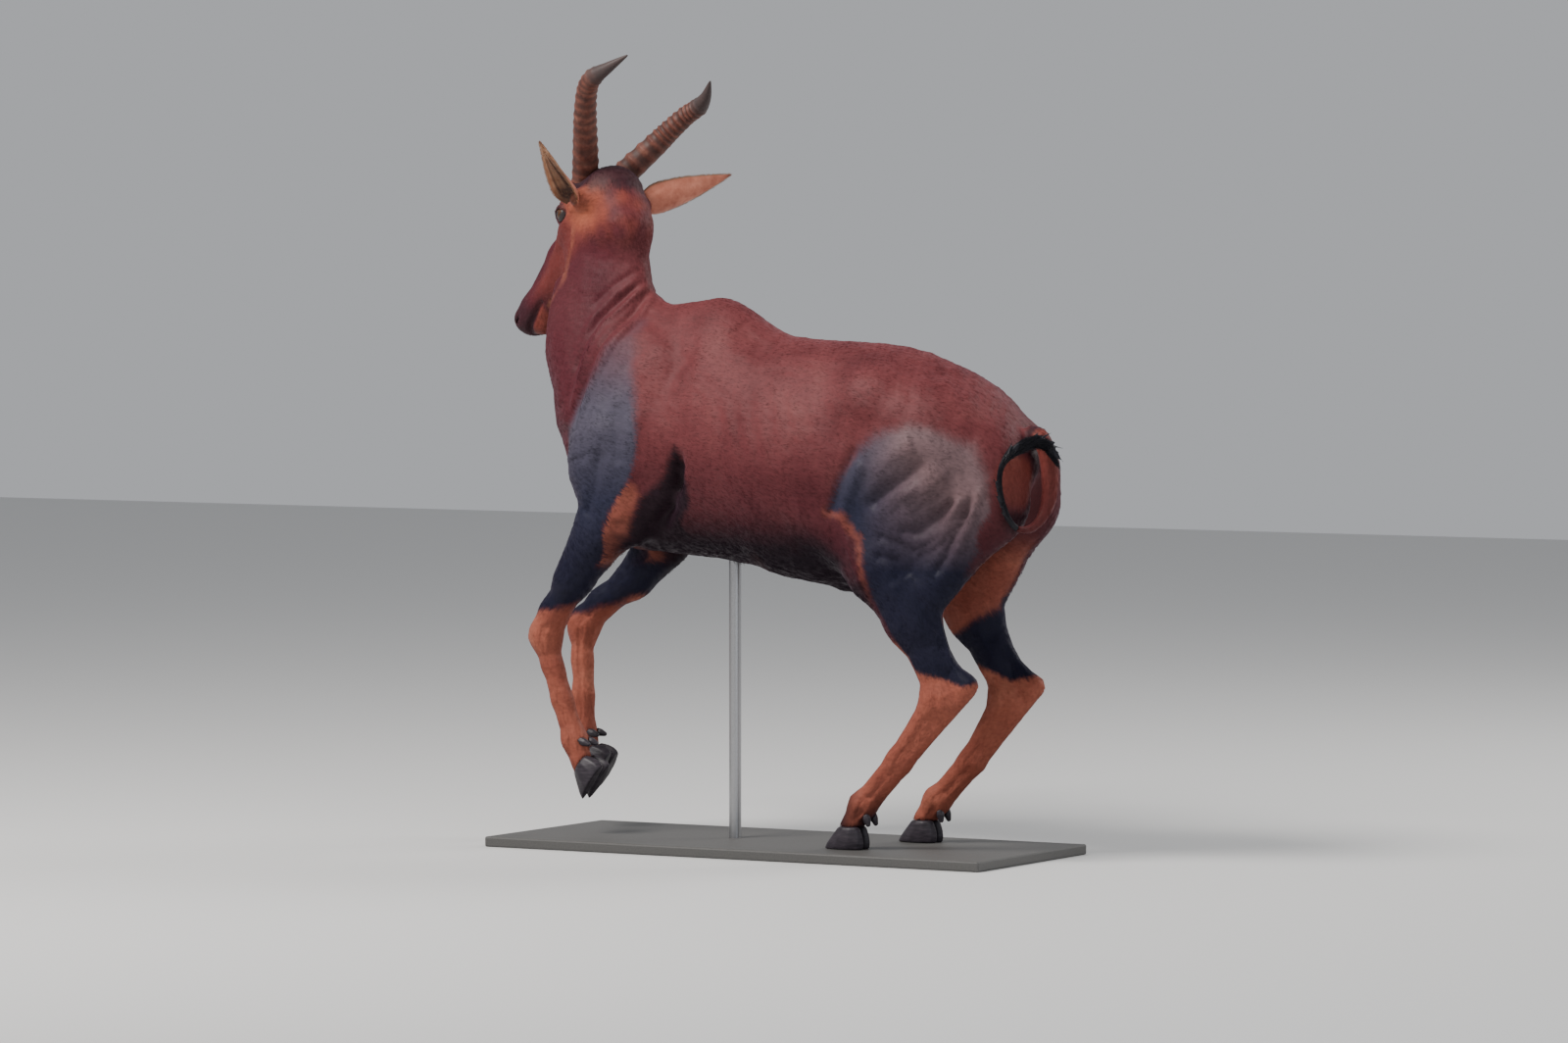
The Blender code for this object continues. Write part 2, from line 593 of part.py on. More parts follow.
def box(name, centre, size, spin=(0, 0, 0), grow=0.0):
    turn = Matrix.Translation(centre)
    for axis, angle in zip("XYZ", spin):
        turn = turn @ Matrix.Rotation(math.radians(angle), 4, axis)
    bm = bmesh.new()
    bmesh.ops.create_cube(bm, size=1.0)
    for vert in bm.verts:
        local = Vector([vert.co[a] * (size[a] + 2 * grow) for a in range(3)])
        vert.co = turn @ local
    mesh = bpy.data.meshes.new(name)
    bm.to_mesh(mesh)
    bm.free()
    thing = bpy.data.objects.new(name, mesh)
    bpy.context.scene.collection.objects.link(thing)
    return thing


def boolean(thing, cutter, operation):
    step = thing.modifiers.new("cut", "BOOLEAN")
    step.operation = operation
    step.solver = "EXACT"
    step.object = cutter
    apply_modifiers(thing)
    bpy.data.objects.remove(cutter, do_unlink=True)


def largest_piece(thing):
    bm = bmesh.new()
    bm.from_mesh(thing.data)
    seen = set()
    pieces = []
    for vert in bm.verts:
        if vert.index in seen:
            continue
        piece = []
        stack = [vert]
        seen.add(vert.index)
        while stack:
            here = stack.pop()
            piece.append(here)
            for edge in here.link_edges:
                other = edge.other_vert(here)
                if other.index not in seen:
                    seen.add(other.index)
                    stack.append(other)
        pieces.append(piece)
    pieces.sort(key=len)
    for piece in pieces[:-1]:
        bmesh.ops.delete(bm, geom=piece, context="VERTS")
    bmesh.ops.recalc_face_normals(bm, faces=bm.faces)
    bm.to_mesh(thing.data)
    bm.free()


def part_off(whole, name, blocks, skin=COAT):
    # blocks: centre, size and spin of each block of the region, which overlap one another
    piece = copy_of(whole, name)
    for thing, grow, operation in ((piece, 0.0, "INTERSECT"), (whole, CUT, "DIFFERENCE")):
        region = box("region", *blocks[0], grow)
        for block in blocks[1:]:
            boolean(region, box("region", *block, grow), "UNION")
        boolean(thing, region, operation)
    finish_piece(piece, skin)
    return piece


def finish_piece(piece, skin):
    # Merge the closest points that still leave the surface closed
    for near in (0.0001, 0.00005, 0.00002, 0.00001, 0.0):
        bm = bmesh.new()
        bm.from_mesh(piece.data)
        if near > 0:
            bmesh.ops.remove_doubles(bm, verts=bm.verts, dist=near)
            bmesh.ops.dissolve_degenerate(bm, edges=bm.edges, dist=near / 2)
        bmesh.ops.triangulate(bm, faces=bm.faces)
        closed = all(len(edge.link_faces) == 2 for edge in bm.edges)
        closed = closed and all(edge.calc_face_angle(0) < 3.1 for edge in bm.edges)
        closed = closed and all(face.calc_area() > 1e-11 for face in bm.faces)
        if closed or near == 0.0:
            bm.to_mesh(piece.data)
        bm.free()
        if closed:
            break
    largest_piece(piece)
    piece.data.materials.clear()
    piece.data.materials.append(skin)
    smooth_faces(piece)


def tube(name, stops, sides, skin, flat=1.0, up=Vector((0, 0, 1))):
    # Rings along a line of stops (x, y, z, radius), closed at both ends with a point
    points = []
    faces = []
    centres = [Vector(s[:3]) for s in stops]
    for i, stop in enumerate(stops):
        ahead = centres[min(i + 1, len(stops) - 1)] - centres[max(i - 1, 0)]
        ahead.normalize()
        side = ahead.cross(up).normalized()
        top = side.cross(ahead).normalized()
        for k in range(sides):
            a = 2 * math.pi * k / sides
            points.append(centres[i] + side * math.cos(a) * stop[3] * flat
                          + top * math.sin(a) * stop[3])
    for i in range(len(stops) - 1):
        for k in range(sides):
            n = (k + 1) % sides
            faces.append((i * sides + k, i * sides + n, (i + 1) * sides + n, (i + 1) * sides + k))
    first = len(points)
    points.append(centres[0])
    points.append(centres[-1])
    last = (len(stops) - 1) * sides
    for k in range(sides):
        n = (k + 1) % sides
        faces.append((first, n, k))
        faces.append((first + 1, last + k, last + n))
    thing = new_object(name, points, faces, skin)
    bm = bmesh.new()
    bm.from_mesh(thing.data)
    bmesh.ops.recalc_face_normals(bm, faces=bm.faces)
    bmesh.ops.triangulate(bm, faces=bm.faces)
    bm.to_mesh(thing.data)
    bm.free()
    smooth_faces(thing)
    return thing


def curve_through(points, count):
    # Even samples of a smooth curve through the given points
    result = []
    stops = [points[0] + (points[0] - points[1])] + points + [points[-1] + (points[-1] - points[-2])]
    spans = len(points) - 1
    for i in range(count):
        t = i / (count - 1) * spans
        k = min(int(t), spans - 1)
        u = t - k
        a, b, c, d = stops[k:k + 4]
        result.append(0.5 * ((2 * b) + (c - a) * u + (2 * a - 5 * b + 4 * c - d) * u * u
                             + (3 * b - a - 3 * c + d) * u ** 3))
    return result


HORN_RINGS = 13


def horn(name, stops):
    steps = 2 * HORN_RINGS + 6
    path = curve_through([Vector(p) for p in stops], steps)
    rings = []
    for i, centre in enumerate(path):
        t = i / (steps - 1)
        radius = 0.0350 - 0.0135 * (t / 0.72) ** 0.8
        if t > 0.72:
            radius = 0.0215 * (1 - (t - 0.72) / 0.28) ** 0.85 + 0.0016
        ridged = 2 <= i < 2 * HORN_RINGS
        if ridged and i % 2 == 0:
            radius += 0.0022 * (1 - 0.4 * t)
        elif ridged:
            radius -= 0.0010
        rings.append((*centre, radius))
    return tube(name, rings, 10, HORN)


def ear(name, root, tip, open_to, wide):
    # A leaf rolled into a cup: outer and inner arcs joined at the rims
    root = Vector(root)
    tip = Vector(tip)
    axis = (tip - root)
    length = axis.length
    axis.normalize()
    mouth = (Vector(open_to) - axis * axis.dot(Vector(open_to))).normalized()
    across = axis.cross(mouth).normalized()
    arcs = 7
    rings = 11
    points = []
    for i in range(rings):
        t = i / (rings - 1)
        half = wide * (0.70 + 0.30 * math.sin(math.pi * min(1.0, t / 0.44)) if t < 0.22
                       else 1.0 - ((t - 0.22) / 0.78) ** 1.9 * 0.95)
        curl = math.radians(205 - 110 * t)
        depth = half * (0.95 - 0.45 * t)
        thick = 0.0050 - 0.0028 * t
        centre = root + axis * (length * t) + mouth * (0.006 * math.sin(math.pi * t))
        for layer, inward in ((0, 0.0), (1, thick)):
            for k in range(arcs):
                u = k / (arcs - 1)
                u = u if layer == 0 else 1 - u
                a = (u - 0.5) * curl
                x = math.sin(a) * (half - inward * 0.6)
                y = -math.cos(a) * (depth - inward) + depth * 0.45
                points.append(centre + across * x + mouth * y)
    ring = arcs * 2
    faces = []
    for i in range(rings - 1):
        for k in range(ring):
            n = (k + 1) % ring
            faces.append((i * ring + k, i * ring + n, (i + 1) * ring + n, (i + 1) * ring + k))
    for i, flip in ((0, True), (rings - 1, False)):
        for k in range(arcs - 1):
            a = i * ring + k
            b = a + 1
            c = i * ring + ring - 2 - k
            d = c + 1
            face = (a, b, c, d)
            faces.append(face[::-1] if flip else face)
    thing = new_object(name, points, faces, EAR)
    bm = bmesh.new()
    bm.from_mesh(thing.data)
    bmesh.ops.recalc_face_normals(bm, faces=bm.faces)
    bmesh.ops.triangulate(bm, faces=bm.faces)
    bm.to_mesh(thing.data)
    bm.free()
    smooth_faces(thing)
    return thing


def claw(name, coronet, sole_turn, out, scale=1.0):
    # One toe of a cloven hoof: flat sole, sloping front wall, rounded outer wall
    rings = []
    for z, front, back, half in ((0.000, 0.056, -0.034, 0.0185), (0.012, 0.050, -0.036, 0.0195),
                                 (0.026, 0.039, -0.034, 0.0190), (0.042, 0.026, -0.028, 0.0165),
                                 (0.046, 0.021, -0.024, 0.0130)):
        ring = []
        for k in range(10):
            a = 2 * math.pi * k / 10
            x = math.cos(a)
            y = math.sin(a)
            along = (front + back) / 2 + x * (front - back) / 2
            width = half * (1.0 - 0.45 * max(x, 0) ** 1.5)
            inner = y * out < 0
            lateral = y * width * (0.55 if inner else 1.0)
            ring.append(Vector((-along, lateral, z)) * scale)
        rings.append(ring)
    turn = Matrix.Translation(coronet) @ Matrix.Rotation(math.radians(sole_turn), 4, "Y")
    turn = turn @ Matrix.Translation(Vector((0, out * 0.0128 * scale, -0.046 * scale)))
    points = [turn @ p for ring in rings for p in ring]
    faces = []
    for i in range(len(rings) - 1):
        for k in range(10):
            n = (k + 1) % 10
            faces.append((i * 10 + k, i * 10 + n, (i + 1) * 10 + n, (i + 1) * 10 + k))
    faces.append(tuple(range(10))[::-1])
    faces.append(tuple(range((len(rings) - 1) * 10, len(rings) * 10)))
    thing = new_object(name, points, faces, HOOF)
    bm = bmesh.new()
    bm.from_mesh(thing.data)
    bmesh.ops.recalc_face_normals(bm, faces=bm.faces)
    bmesh.ops.triangulate(bm, faces=bm.faces)
    bm.to_mesh(thing.data)
    bm.free()
    smooth_faces(thing)
    return thing


def eyeball(name, side):
    centre = head_point(EYE_AT[0], side * EYE_AT[1], EYE_AT[2])
    mesh = bpy.data.meshes.new(name)
    bm = bmesh.new()
    bmesh.ops.create_uvsphere(bm, u_segments=14, v_segments=9, radius=EYE_RADIUS)
    for vert in bm.verts:
        vert.co += centre
    bmesh.ops.triangulate(bm, faces=bm.faces)
    bm.to_mesh(mesh)
    bm.free()
    mesh.materials.append(EYE)
    thing = bpy.data.objects.new(name, mesh)
    bpy.context.scene.collection.objects.link(thing)
    smooth_faces(thing)
    return thing


def raise_all():
    for thing in bpy.context.scene.objects:
        if not thing.name.startswith("stand_"):
            for vert in thing.data.vertices:
                vert.co.z += FLOOR_Z


def half_space(point, normal, grow=0.0, reach=1.6):
    # A large block whose one face passes through the point, square to the normal
    normal = Vector(normal).normalized()
    bm = bmesh.new()
    bmesh.ops.create_cube(bm, size=reach)
    turn = normal.to_track_quat("Z", "Y").to_matrix().to_4x4()
    place = Matrix.Translation(Vector(point) + normal * (reach / 2 - grow)) @ turn
    for vert in bm.verts:
        vert.co = place @ vert.co
    mesh = bpy.data.meshes.new("half_space")
    bm.to_mesh(mesh)
    bm.free()
    thing = bpy.data.objects.new("half_space", mesh)
    bpy.context.scene.collection.objects.link(thing)
    return thing


def split(whole, name, point, normal, skin):
    # The side that the normal points to becomes a new piece, with a thin gap between
    piece = copy_of(whole, name)
    boolean(piece, half_space(point, normal), "INTERSECT")
    boolean(whole, half_space(point, normal, CUT), "DIFFERENCE")
    finish_piece(piece, skin)
    return piece


def grown(thing, by=CUT):
    other = copy_of(thing, "grown")
    swell = other.modifiers.new("swell", "DISPLACE")
    swell.strength = by
    swell.mid_level = 0.0
    apply_modifiers(other)
    return other


def seat(piece, host, skin):
    # The piece gives way to its host, so that the two meet without sharing space
    boolean(piece, grown(host), "DIFFERENCE")
    finish_piece(piece, skin)


def lower_leg(leg, name, low, low_line, high, high_line):
    split(leg, "pastern_" + name, low, low_line, COAT_LEG)
    split(leg, "cannon_" + name, high, high_line, COAT_LEG)


def coronet_cut(leg, coronet, turn):
    down = Matrix.Rotation(math.radians(turn), 3, "Y") @ Vector((0, 0, -1))
    boolean(leg, half_space(Vector(coronet), down, CUT, 0.16), "DIFFERENCE")


def fore_parts(body, side, joints, name, turn):
    elbow, mid, above, knee, below, cannon, fetlock, coronet = [Vector(j) for j in joints]
    line = (mid - elbow).normalized()
    top = elbow + line * 0.044
    spin = math.degrees(math.atan2(-line.x, -line.z))
    centre = Vector((top.x, side * 0.197, top.z)) + Vector((line.x, 0, line.z)).normalized() * 0.20
    upper = (centre, (0.34, 0.28, 0.40), (0, spin, 0))
    lower = ((-0.530, side * 0.155, 0.270), (0.60, 0.29, 0.56), (0, 0, 0))
    leg = part_off(body, "forearm_" + name, [upper, lower], COAT_DARK)
    coronet_cut(leg, coronet, turn)
    low = fetlock + (cannon - fetlock).normalized() * 0.034
    high = knee + (below - knee).normalized() * 0.044
    lower_leg(leg, name, low, fetlock - cannon, high, below - knee)
    finish_piece(leg, COAT_DARK)


def hind_parts(body, side, joints, name, turn):
    hip, stifle, gaskin, above, hock, point, cannon, fetlock, coronet = [Vector(j) for j in joints]
    upper = ((0.580, side * 0.1552, 0.4380), (0.60, 0.31, 0.60), (0, -13, 0))
    lower = ((0.400, side * 0.1552, 0.2000), (0.80, 0.31, 0.50), (0, 0, 0))
    leg = part_off(body, "thigh_" + name, [upper, lower], COAT_DARK)
    coronet_cut(leg, coronet, turn)
    low = fetlock + (cannon - fetlock).normalized() * 0.034
    high = hock + (cannon - hock).normalized() * 0.054
    lower_leg(leg, name, low, fetlock - cannon, high, cannon - hock)
    finish_piece(leg, COAT_DARK)


TAIL_STOPS = [
    (0.640, -0.004, 0.944, 0.026), (0.679, -0.022, 0.938, 0.023), (0.699, -0.026, 0.899, 0.0225),
    (0.706, -0.028, 0.844, 0.0220), (0.705, -0.034, 0.796, 0.0190), (0.696, -0.052, 0.757, 0.0140),
    (0.684, -0.085, 0.736, 0.0110), (0.672, -0.122, 0.739, 0.0095), (0.664, -0.150, 0.766, 0.0085),
    (0.658, -0.166, 0.804, 0.0075), (0.656, -0.174, 0.844, 0.0070), (0.660, -0.170, 0.879, 0.0070),
    (0.670, -0.152, 0.904, 0.0080), (0.684, -0.122, 0.921, 0.0090), (0.702, -0.094, 0.932, 0.0090),
    (0.722, -0.074, 0.924, 0.0060), (0.732, -0.068, 0.905, 0.0035),
]
TAIL_CUTS = (("tail_tip", 11), ("tail_middle", 7), ("tail_bend", 4))


def lock(root, along, out, length, width, thick, curl):
    # A flat tapered lock that leaves along its path and bends away from it
    side = along.cross(out).normalized()
    points = []
    steps = 4
    for i in range(steps):
        t = i / (steps - 1)
        centre = root + along * (length * t) + out * (curl * t * t)
        half = width * (0.80 + 0.9 * t - 1.55 * t * t)
        flat = thick * (1.0 - 0.75 * t)
        for x, y in ((-1, 0), (0, -1), (1, 0), (0, 1)):
            points.append(centre + side * (half * x) + out * (flat * y))
    faces = [(3, 2, 1, 0)]
    for i in range(steps - 1):
        for k in range(4):
            n = (k + 1) % 4
            a, b = i * 4, (i + 1) * 4
            faces.append((a + k, a + n, b + n, b + k))
    top = (steps - 1) * 4
    faces.append(tuple(top + k for k in range(4)))
    thing = new_object("lock", points, faces, TAIL_HAIR)
    bm = bmesh.new()
    bm.from_mesh(thing.data)
    bmesh.ops.recalc_face_normals(bm, faces=bm.faces)
    bmesh.ops.triangulate(bm, faces=bm.faces)
    bm.to_mesh(thing.data)
    bm.free()
    return thing


def add_locks(node, path, first, last, count, length, width, away):
    # Locks rooted along the tail's path, joined to the node in one union
    picks = random.Random(7)
    group = bpy.data.collections.new("locks")
    bpy.context.scene.collection.children.link(group)
    for i in range(count):
        t = first + (last - first) * (i + 0.5) / count
        k = min(int(t), len(path) - 2)
        root = path[k].lerp(path[k + 1], t - k)
        along = (path[k + 1] - path[k]).normalized()
        out = (away - along * away.dot(along)).normalized()
        turn = math.radians((i % 3 - 1) * 52 + picks.uniform(-12, 12))
        out = Matrix.Rotation(turn, 3, along) @ out
        size = length * picks.uniform(0.85, 1.1)
        strand = lock(root + out * 0.0055, along, out, size, width, 0.0048, size * 0.16)
        bpy.context.scene.collection.objects.unlink(strand)
        group.objects.link(strand)
    change = node.modifiers.new("locks", "BOOLEAN")
    change.operation = "UNION"
    change.operand_type = "COLLECTION"
    change.collection = group
    change.solver = "EXACT"
    apply_modifiers(node)
    for strand in list(group.objects):
        bpy.data.objects.remove(strand)
    bpy.data.collections.remove(group)
    largest_piece(node)
    finish_piece(node, TAIL_HAIR)


def tail():
    centres = [Vector(s[:3]) for s in TAIL_STOPS]
    radii = [s[3] for s in TAIL_STOPS]
    count = 3 * (len(TAIL_STOPS) - 1) + 1
    path = curve_through(centres, count)
    stops = []
    for i, place in enumerate(path):
        k = min(i // 3, len(radii) - 2)
        radius = radii[k] + (radii[k + 1] - radii[k]) * (i / 3 - k)
        stops.append((*place, radius))
    lengths = {}
    names = ["tail_root", "tail_bend", "tail_middle", "tail_tip"]
    ends = [0] + [3 * at for _, at in reversed(TAIL_CUTS)] + [count - 1]
    for name, first, last in zip(names, ends, ends[1:]):
        part = stops[max(first - 2, 0):last + 3]
        skin = COAT if name in ("tail_root", "tail_bend") else TAIL_HAIR
        piece = tube(name, part, 8, skin, 1.0, Vector((0.3, 0.2, 0.9)))
        for end, sign in ((first, 1), (last, -1)):
            if 0 < end < count - 1:
                line = (path[end + 1] - path[end - 1]).normalized() * sign
                keep = half_space(path[end] + line * (CUT / 2), line, 0.0, 0.4)
                boolean(piece, keep, "INTERSECT")
        finish_piece(piece, skin)
        lengths[name] = piece
    return lengths, path, ends


def stand_plate():
    bm = bmesh.new()
    bmesh.ops.create_cube(bm, size=1.0)
    for vert in bm.verts:
        vert.co.x *= BASE_LENGTH
        vert.co.y *= BASE_WIDTH
        vert.co.z = (vert.co.z + 0.5) * BASE_THICK
    mesh = bpy.data.meshes.new("stand_base")
    bm.to_mesh(mesh)
    bm.free()
    mesh.materials.append(STAND_BASE)
    thing = bpy.data.objects.new("stand_base", mesh)
    bpy.context.scene.collection.objects.link(thing)
    edge = thing.modifiers.new("edge", "BEVEL")
    edge.width = 0.004
    edge.segments = 2
    edge.limit_method = "ANGLE"
    return thing


def rod_shape(name, grow):
    # The rod runs from the plate up into a blind hole in the underside of the chest
    bm = bmesh.new()
    bmesh.ops.create_cone(bm, cap_ends=True, segments=20, radius1=ROD_RADIUS + grow,
                          radius2=ROD_RADIUS + grow, depth=1.0)
    for vert in bm.verts:
        high = vert.co.z > 0
        height = ROD_TOP + grow if high else BASE_THICK + REST
        vert.co = Vector((vert.co.x + ROD_AT[0], vert.co.y + ROD_AT[1], height))
    mesh = bpy.data.meshes.new(name)
    bm.to_mesh(mesh)
    bm.free()
    thing = bpy.data.objects.new(name, mesh)
    bpy.context.scene.collection.objects.link(thing)
    return thing


ROD_AT = (-0.130, 0.0)
ROD_TOP = 0.665


def hooves(joints, name, turn, scale):
    fetlock = Vector(joints[-2])
    coronet = Vector(joints[-1])
    host = bpy.data.objects["pastern_" + name]
    for out, place in ((-1, "l"), (1, "r")):
        claw("hoof_" + name + "_" + place, coronet, turn, out, scale)
    down = (coronet - fetlock).normalized()
    back = Vector((-down.z, 0, down.x))
    for out, place in ((-1, "l"), (1, "r")):
        root = fetlock + back * 0.020 + down * 0.006 + Vector((0, out * 0.0150, 0))
        tip = root + back * 0.026 + down * 0.022 + Vector((0, out * 0.003, 0))
        toe = tube("dewclaw_" + name + "_" + place,
                   [(*root, 0.0095), (*(root.lerp(tip, 0.55)), 0.0095), (*tip, 0.0045)], 6, HOOF)
        seat(toe, host, HOOF)


HEAD_BACK = Vector((-0.405, 0.045, 1.460))
HEAD_BACK_LINE = Vector((-0.788, 0.318, 0.530))
HEAD_UNDER = HEAD_AT - CROWN * 0.200
HEAD_UNDER_LINE = CROWN * 0.985 - FORE * 0.170


def head_side(grow=0.0):
    region = half_space(HEAD_BACK, HEAD_BACK_LINE, grow)
    boolean(region, half_space(HEAD_UNDER, HEAD_UNDER_LINE, grow), "INTERSECT")
    return region


def build():
    body = body_field().mesh("torso")
    tidy_mesh(body, BODY_TRIANGLES, BODY_STEP)
    head = head_field().mesh("head")
    tidy_mesh(head, HEAD_TRIANGLES, HEAD_STEP)
    boolean(head, head_side(), "INTERSECT")
    for side in (-1, 1):
        bm = bmesh.new()
        bmesh.ops.create_uvsphere(bm, u_segments=14, v_segments=9, radius=EYE_RADIUS + 0.0009)
        for vert in bm.verts:
            vert.co += head_point(EYE_AT[0], side * EYE_AT[1], EYE_AT[2])
        mesh = bpy.data.meshes.new("socket")
        bm.to_mesh(mesh)
        bm.free()
        socket = bpy.data.objects.new("socket", mesh)
        bpy.context.scene.collection.objects.link(socket)
        boolean(head, socket, "DIFFERENCE")
    finish_piece(head, COAT)
    boolean(body, head_side(CUT), "DIFFERENCE")
    largest_piece(body)
    split(body, "neck", (-0.310, 0, 1.238), (-0.56, 0, 0.83), COAT)
    fore_parts(body, -1, FORE_LEFT, "fore_left", -56)
    fore_parts(body, 1, FORE_RIGHT, "fore_right", -60)
    hind_parts(body, -1, HIND_LEFT, "hind_left", 0)
    hind_parts(body, 1, HIND_RIGHT, "hind_right", 0)
    for stops, name in ((HORN_LEFT, "horn_left"), (HORN_RIGHT, "horn_right")):
        seat(horn(name, stops), head, HORN)
    fore, side, crown = EAR_ROOT
    left = ear("ear_left", head_point(fore + 0.008, side + 0.007, crown), (-0.566, -0.150, 1.606),
               (-0.14, -0.97, 0.10), 0.032)
    right = ear("ear_right", head_point(fore, -side, crown), (-0.318, 0.306, 1.528),
                (-0.75, 0.60, 0.25), 0.037)
    for thing, horn_name in ((left, "horn_left"), (right, "horn_right")):
        boolean(thing, grown(bpy.data.objects[horn_name], 0.0008), "DIFFERENCE")
        seat(thing, head, EAR)
    eyeball("eye_left", 1)
    eyeball("eye_right", -1)
    hooves(FORE_LEFT, "fore_left", -56, 1.12)
    hooves(FORE_RIGHT, "fore_right", -60, 1.12)
    hooves(HIND_LEFT, "hind_left", 0, 1.12)
    hooves(HIND_RIGHT, "hind_right", 0, 1.12)
    lengths, path, ends = tail()
    toward = Vector((0.35, -0.85, 0.35))
    add_locks(lengths["tail_middle"], path, ends[2] + 1.0, ends[3] - 4.0, 8, 0.034, 0.0060,
              Vector((-0.7, -0.6, -0.2)))
    add_locks(lengths["tail_tip"], path, ends[3] + 1.5, ends[4] - 2.5, 14, 0.048, 0.0105, toward)
    boolean(body, rod_shape("socket", CUT), "DIFFERENCE")
    finish_piece(body, COAT)
    for name, piece in lengths.items():
        seat(piece, body, COAT if name in ("tail_root", "tail_bend") else TAIL_HAIR)
    raise_all()
    stand_plate()
    rod = rod_shape("stand_rod", 0.0)
    for vert in rod.data.vertices:
        if vert.co.z > 0.3:
            vert.co.z += FLOOR_Z
    rod.data.materials.append(STAND_ROD)
    smooth_faces(rod, math.radians(35))


build()
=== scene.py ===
"""Looks of a life-size standing model of a topi antelope: skin, short coat, horns, hooves and eyes.

The animal faces -X, its left side is -Y, and +Z is up. Lengths are in metres, and in the tables of
places on a path or an outline in millimetres.
"""
from math import asin, atan2, cos, hypot, pi, radians, sin

import bmesh
import bpy
import numpy as np
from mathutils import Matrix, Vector


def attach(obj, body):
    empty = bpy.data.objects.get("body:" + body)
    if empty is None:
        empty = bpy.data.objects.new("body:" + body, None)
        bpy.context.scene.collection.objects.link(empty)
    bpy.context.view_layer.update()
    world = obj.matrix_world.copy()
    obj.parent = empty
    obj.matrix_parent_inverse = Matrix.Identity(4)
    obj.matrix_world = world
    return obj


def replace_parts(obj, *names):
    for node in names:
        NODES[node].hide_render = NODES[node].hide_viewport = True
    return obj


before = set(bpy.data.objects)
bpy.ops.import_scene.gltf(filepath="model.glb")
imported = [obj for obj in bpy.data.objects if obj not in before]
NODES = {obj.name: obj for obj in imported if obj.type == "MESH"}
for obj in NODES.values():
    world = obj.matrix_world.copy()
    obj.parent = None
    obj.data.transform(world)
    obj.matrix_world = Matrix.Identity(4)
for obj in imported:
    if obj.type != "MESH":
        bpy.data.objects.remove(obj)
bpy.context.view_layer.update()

# Sizes of the skin and the coat
SKIN_VOXEL = 0.0032
HOOF_VOXEL, DEWCLAW_VOXEL, TAIL_VOXEL = 0.0017, 0.0012, 0.0016
COAT_DEPTH = 0.0012
SMOOTH_ROUNDS = 21
TUFTS, TUFTS_PER_PIECE = 150000, 48000
TAIL_HAIRS, FRINGE_HAIRS = 2600, 1500
SEED = 41

# How far the animal stands above the places in the tables
LIFT = Vector((0, 0, 0.0243))


def mm(*stops):
    """Places given in millimetres, in metres."""
    return [tuple(value / 1000 for value in stop) for stop in stops]


def lifted(*stops):
    return [Vector(stop) + LIFT for stop in mm(*stops)]


HEAD_TURN, HEAD_PITCH, HEAD_ROLL = (radians(angle) for angle in (22, 47, 9))
HEAD_AT = Vector((-0.527, 0.08, 1.537)) + LIFT
EYE_PLACE = np.array((0.108, 0.0735, -0.044))
EYE_RADIUS = 0.0205
EARS = {
    # root on the head, tip, the way the cup opens, half its width
    "ear_left": ((0.038, 0.093, -0.078), (-0.566, -0.15, 1.606), (-0.14, -0.97, 0.1), 0.032),
    "ear_right": ((0.03, -0.086, -0.078), (-0.318, 0.306, 1.528), (-0.75, 0.6, 0.25), 0.037),
}

# Centre lines of the legs from elbow or stifle to coronet
FORE_LEFT = lifted(
    (-412, -122, 700), (-494, -116, 592), (-553, -108, 514), (-580, -102, 460), (-566, -98, 392),
    (-544, -92, 310), (-514, -84, 218), (-492, -82, 160))
FORE_RIGHT = lifted(
    (-385, 118, 672), (-470, 110, 580), (-550, 104, 528), (-600, 100, 472), (-602, 95, 392),
    (-598, 90, 310), (-594, 86, 222), (-570, 84, 172))
HIND_LEFT = lifted(
    (335, -130, 640), (405, -128, 520), (455, -124, 430), (474, -120, 350), (368, -120, 208),
    (276, -120, 102), (246, -120, 51.5))
HIND_RIGHT = lifted(
    (350, 130, 635), (425, 128, 520), (480, 124, 430), (520, 120, 340), (425, 120, 195), (336, 120, 98),
    (304, 120, 51.5))
LEG_PATHS = (FORE_LEFT, FORE_RIGHT, HIND_LEFT, HIND_RIGHT)

HORN_LEFT = lifted(
    (-566, 52, 1478), (-555, 36, 1533), (-526, -12, 1610), (-500, -55, 1672), (-472, -92, 1725),
    (-445, -110, 1752), (-399, -118, 1775), (-348, -116, 1803))
HORN_RIGHT = lifted(
    (-538, 106, 1484), (-494, 120, 1533), (-431, 152, 1600), (-398, 163, 1633), (-357, 164, 1665),
    (-322, 156, 1683), (-288, 134, 1708), (-262, 112, 1745))
TAIL = lifted(
    (640, -4, 944), (679, -22, 938), (699, -26, 899), (706, -28, 844), (705, -34, 796), (696, -52, 757),
    (684, -85, 736), (672, -122, 739), (664, -150, 766), (658, -166, 804), (656, -174, 844),
    (660, -170, 879), (670, -152, 904), (684, -122, 921), (702, -94, 932), (722, -74, 924), (732, -68, 905))
TAIL_RADII = [
    0.026, 0.023, 0.0225, 0.022, 0.019, 0.014, 0.011, 0.0095, 0.0085, 0.0075, 0.007, 0.007, 0.008, 0.009,
    0.009, 0.006, 0.0035]
NECK_LINE = [(-0.4, 0, 1.05), (-0.47, 0.03, 1.3), (-0.5, 0.06, 1.56)]

LEGS = ("fore_left", "fore_right", "hind_left", "hind_right")
FLESH = ["head", "neck", "torso", "tail_root", "tail_bend"]
FLESH += ["forearm_fore_left", "forearm_fore_right", "thigh_hind_left", "thigh_hind_right"]
FLESH += ["cannon_" + leg for leg in LEGS] + ["pastern_" + leg for leg in LEGS]

rng = np.random.default_rng(SEED)

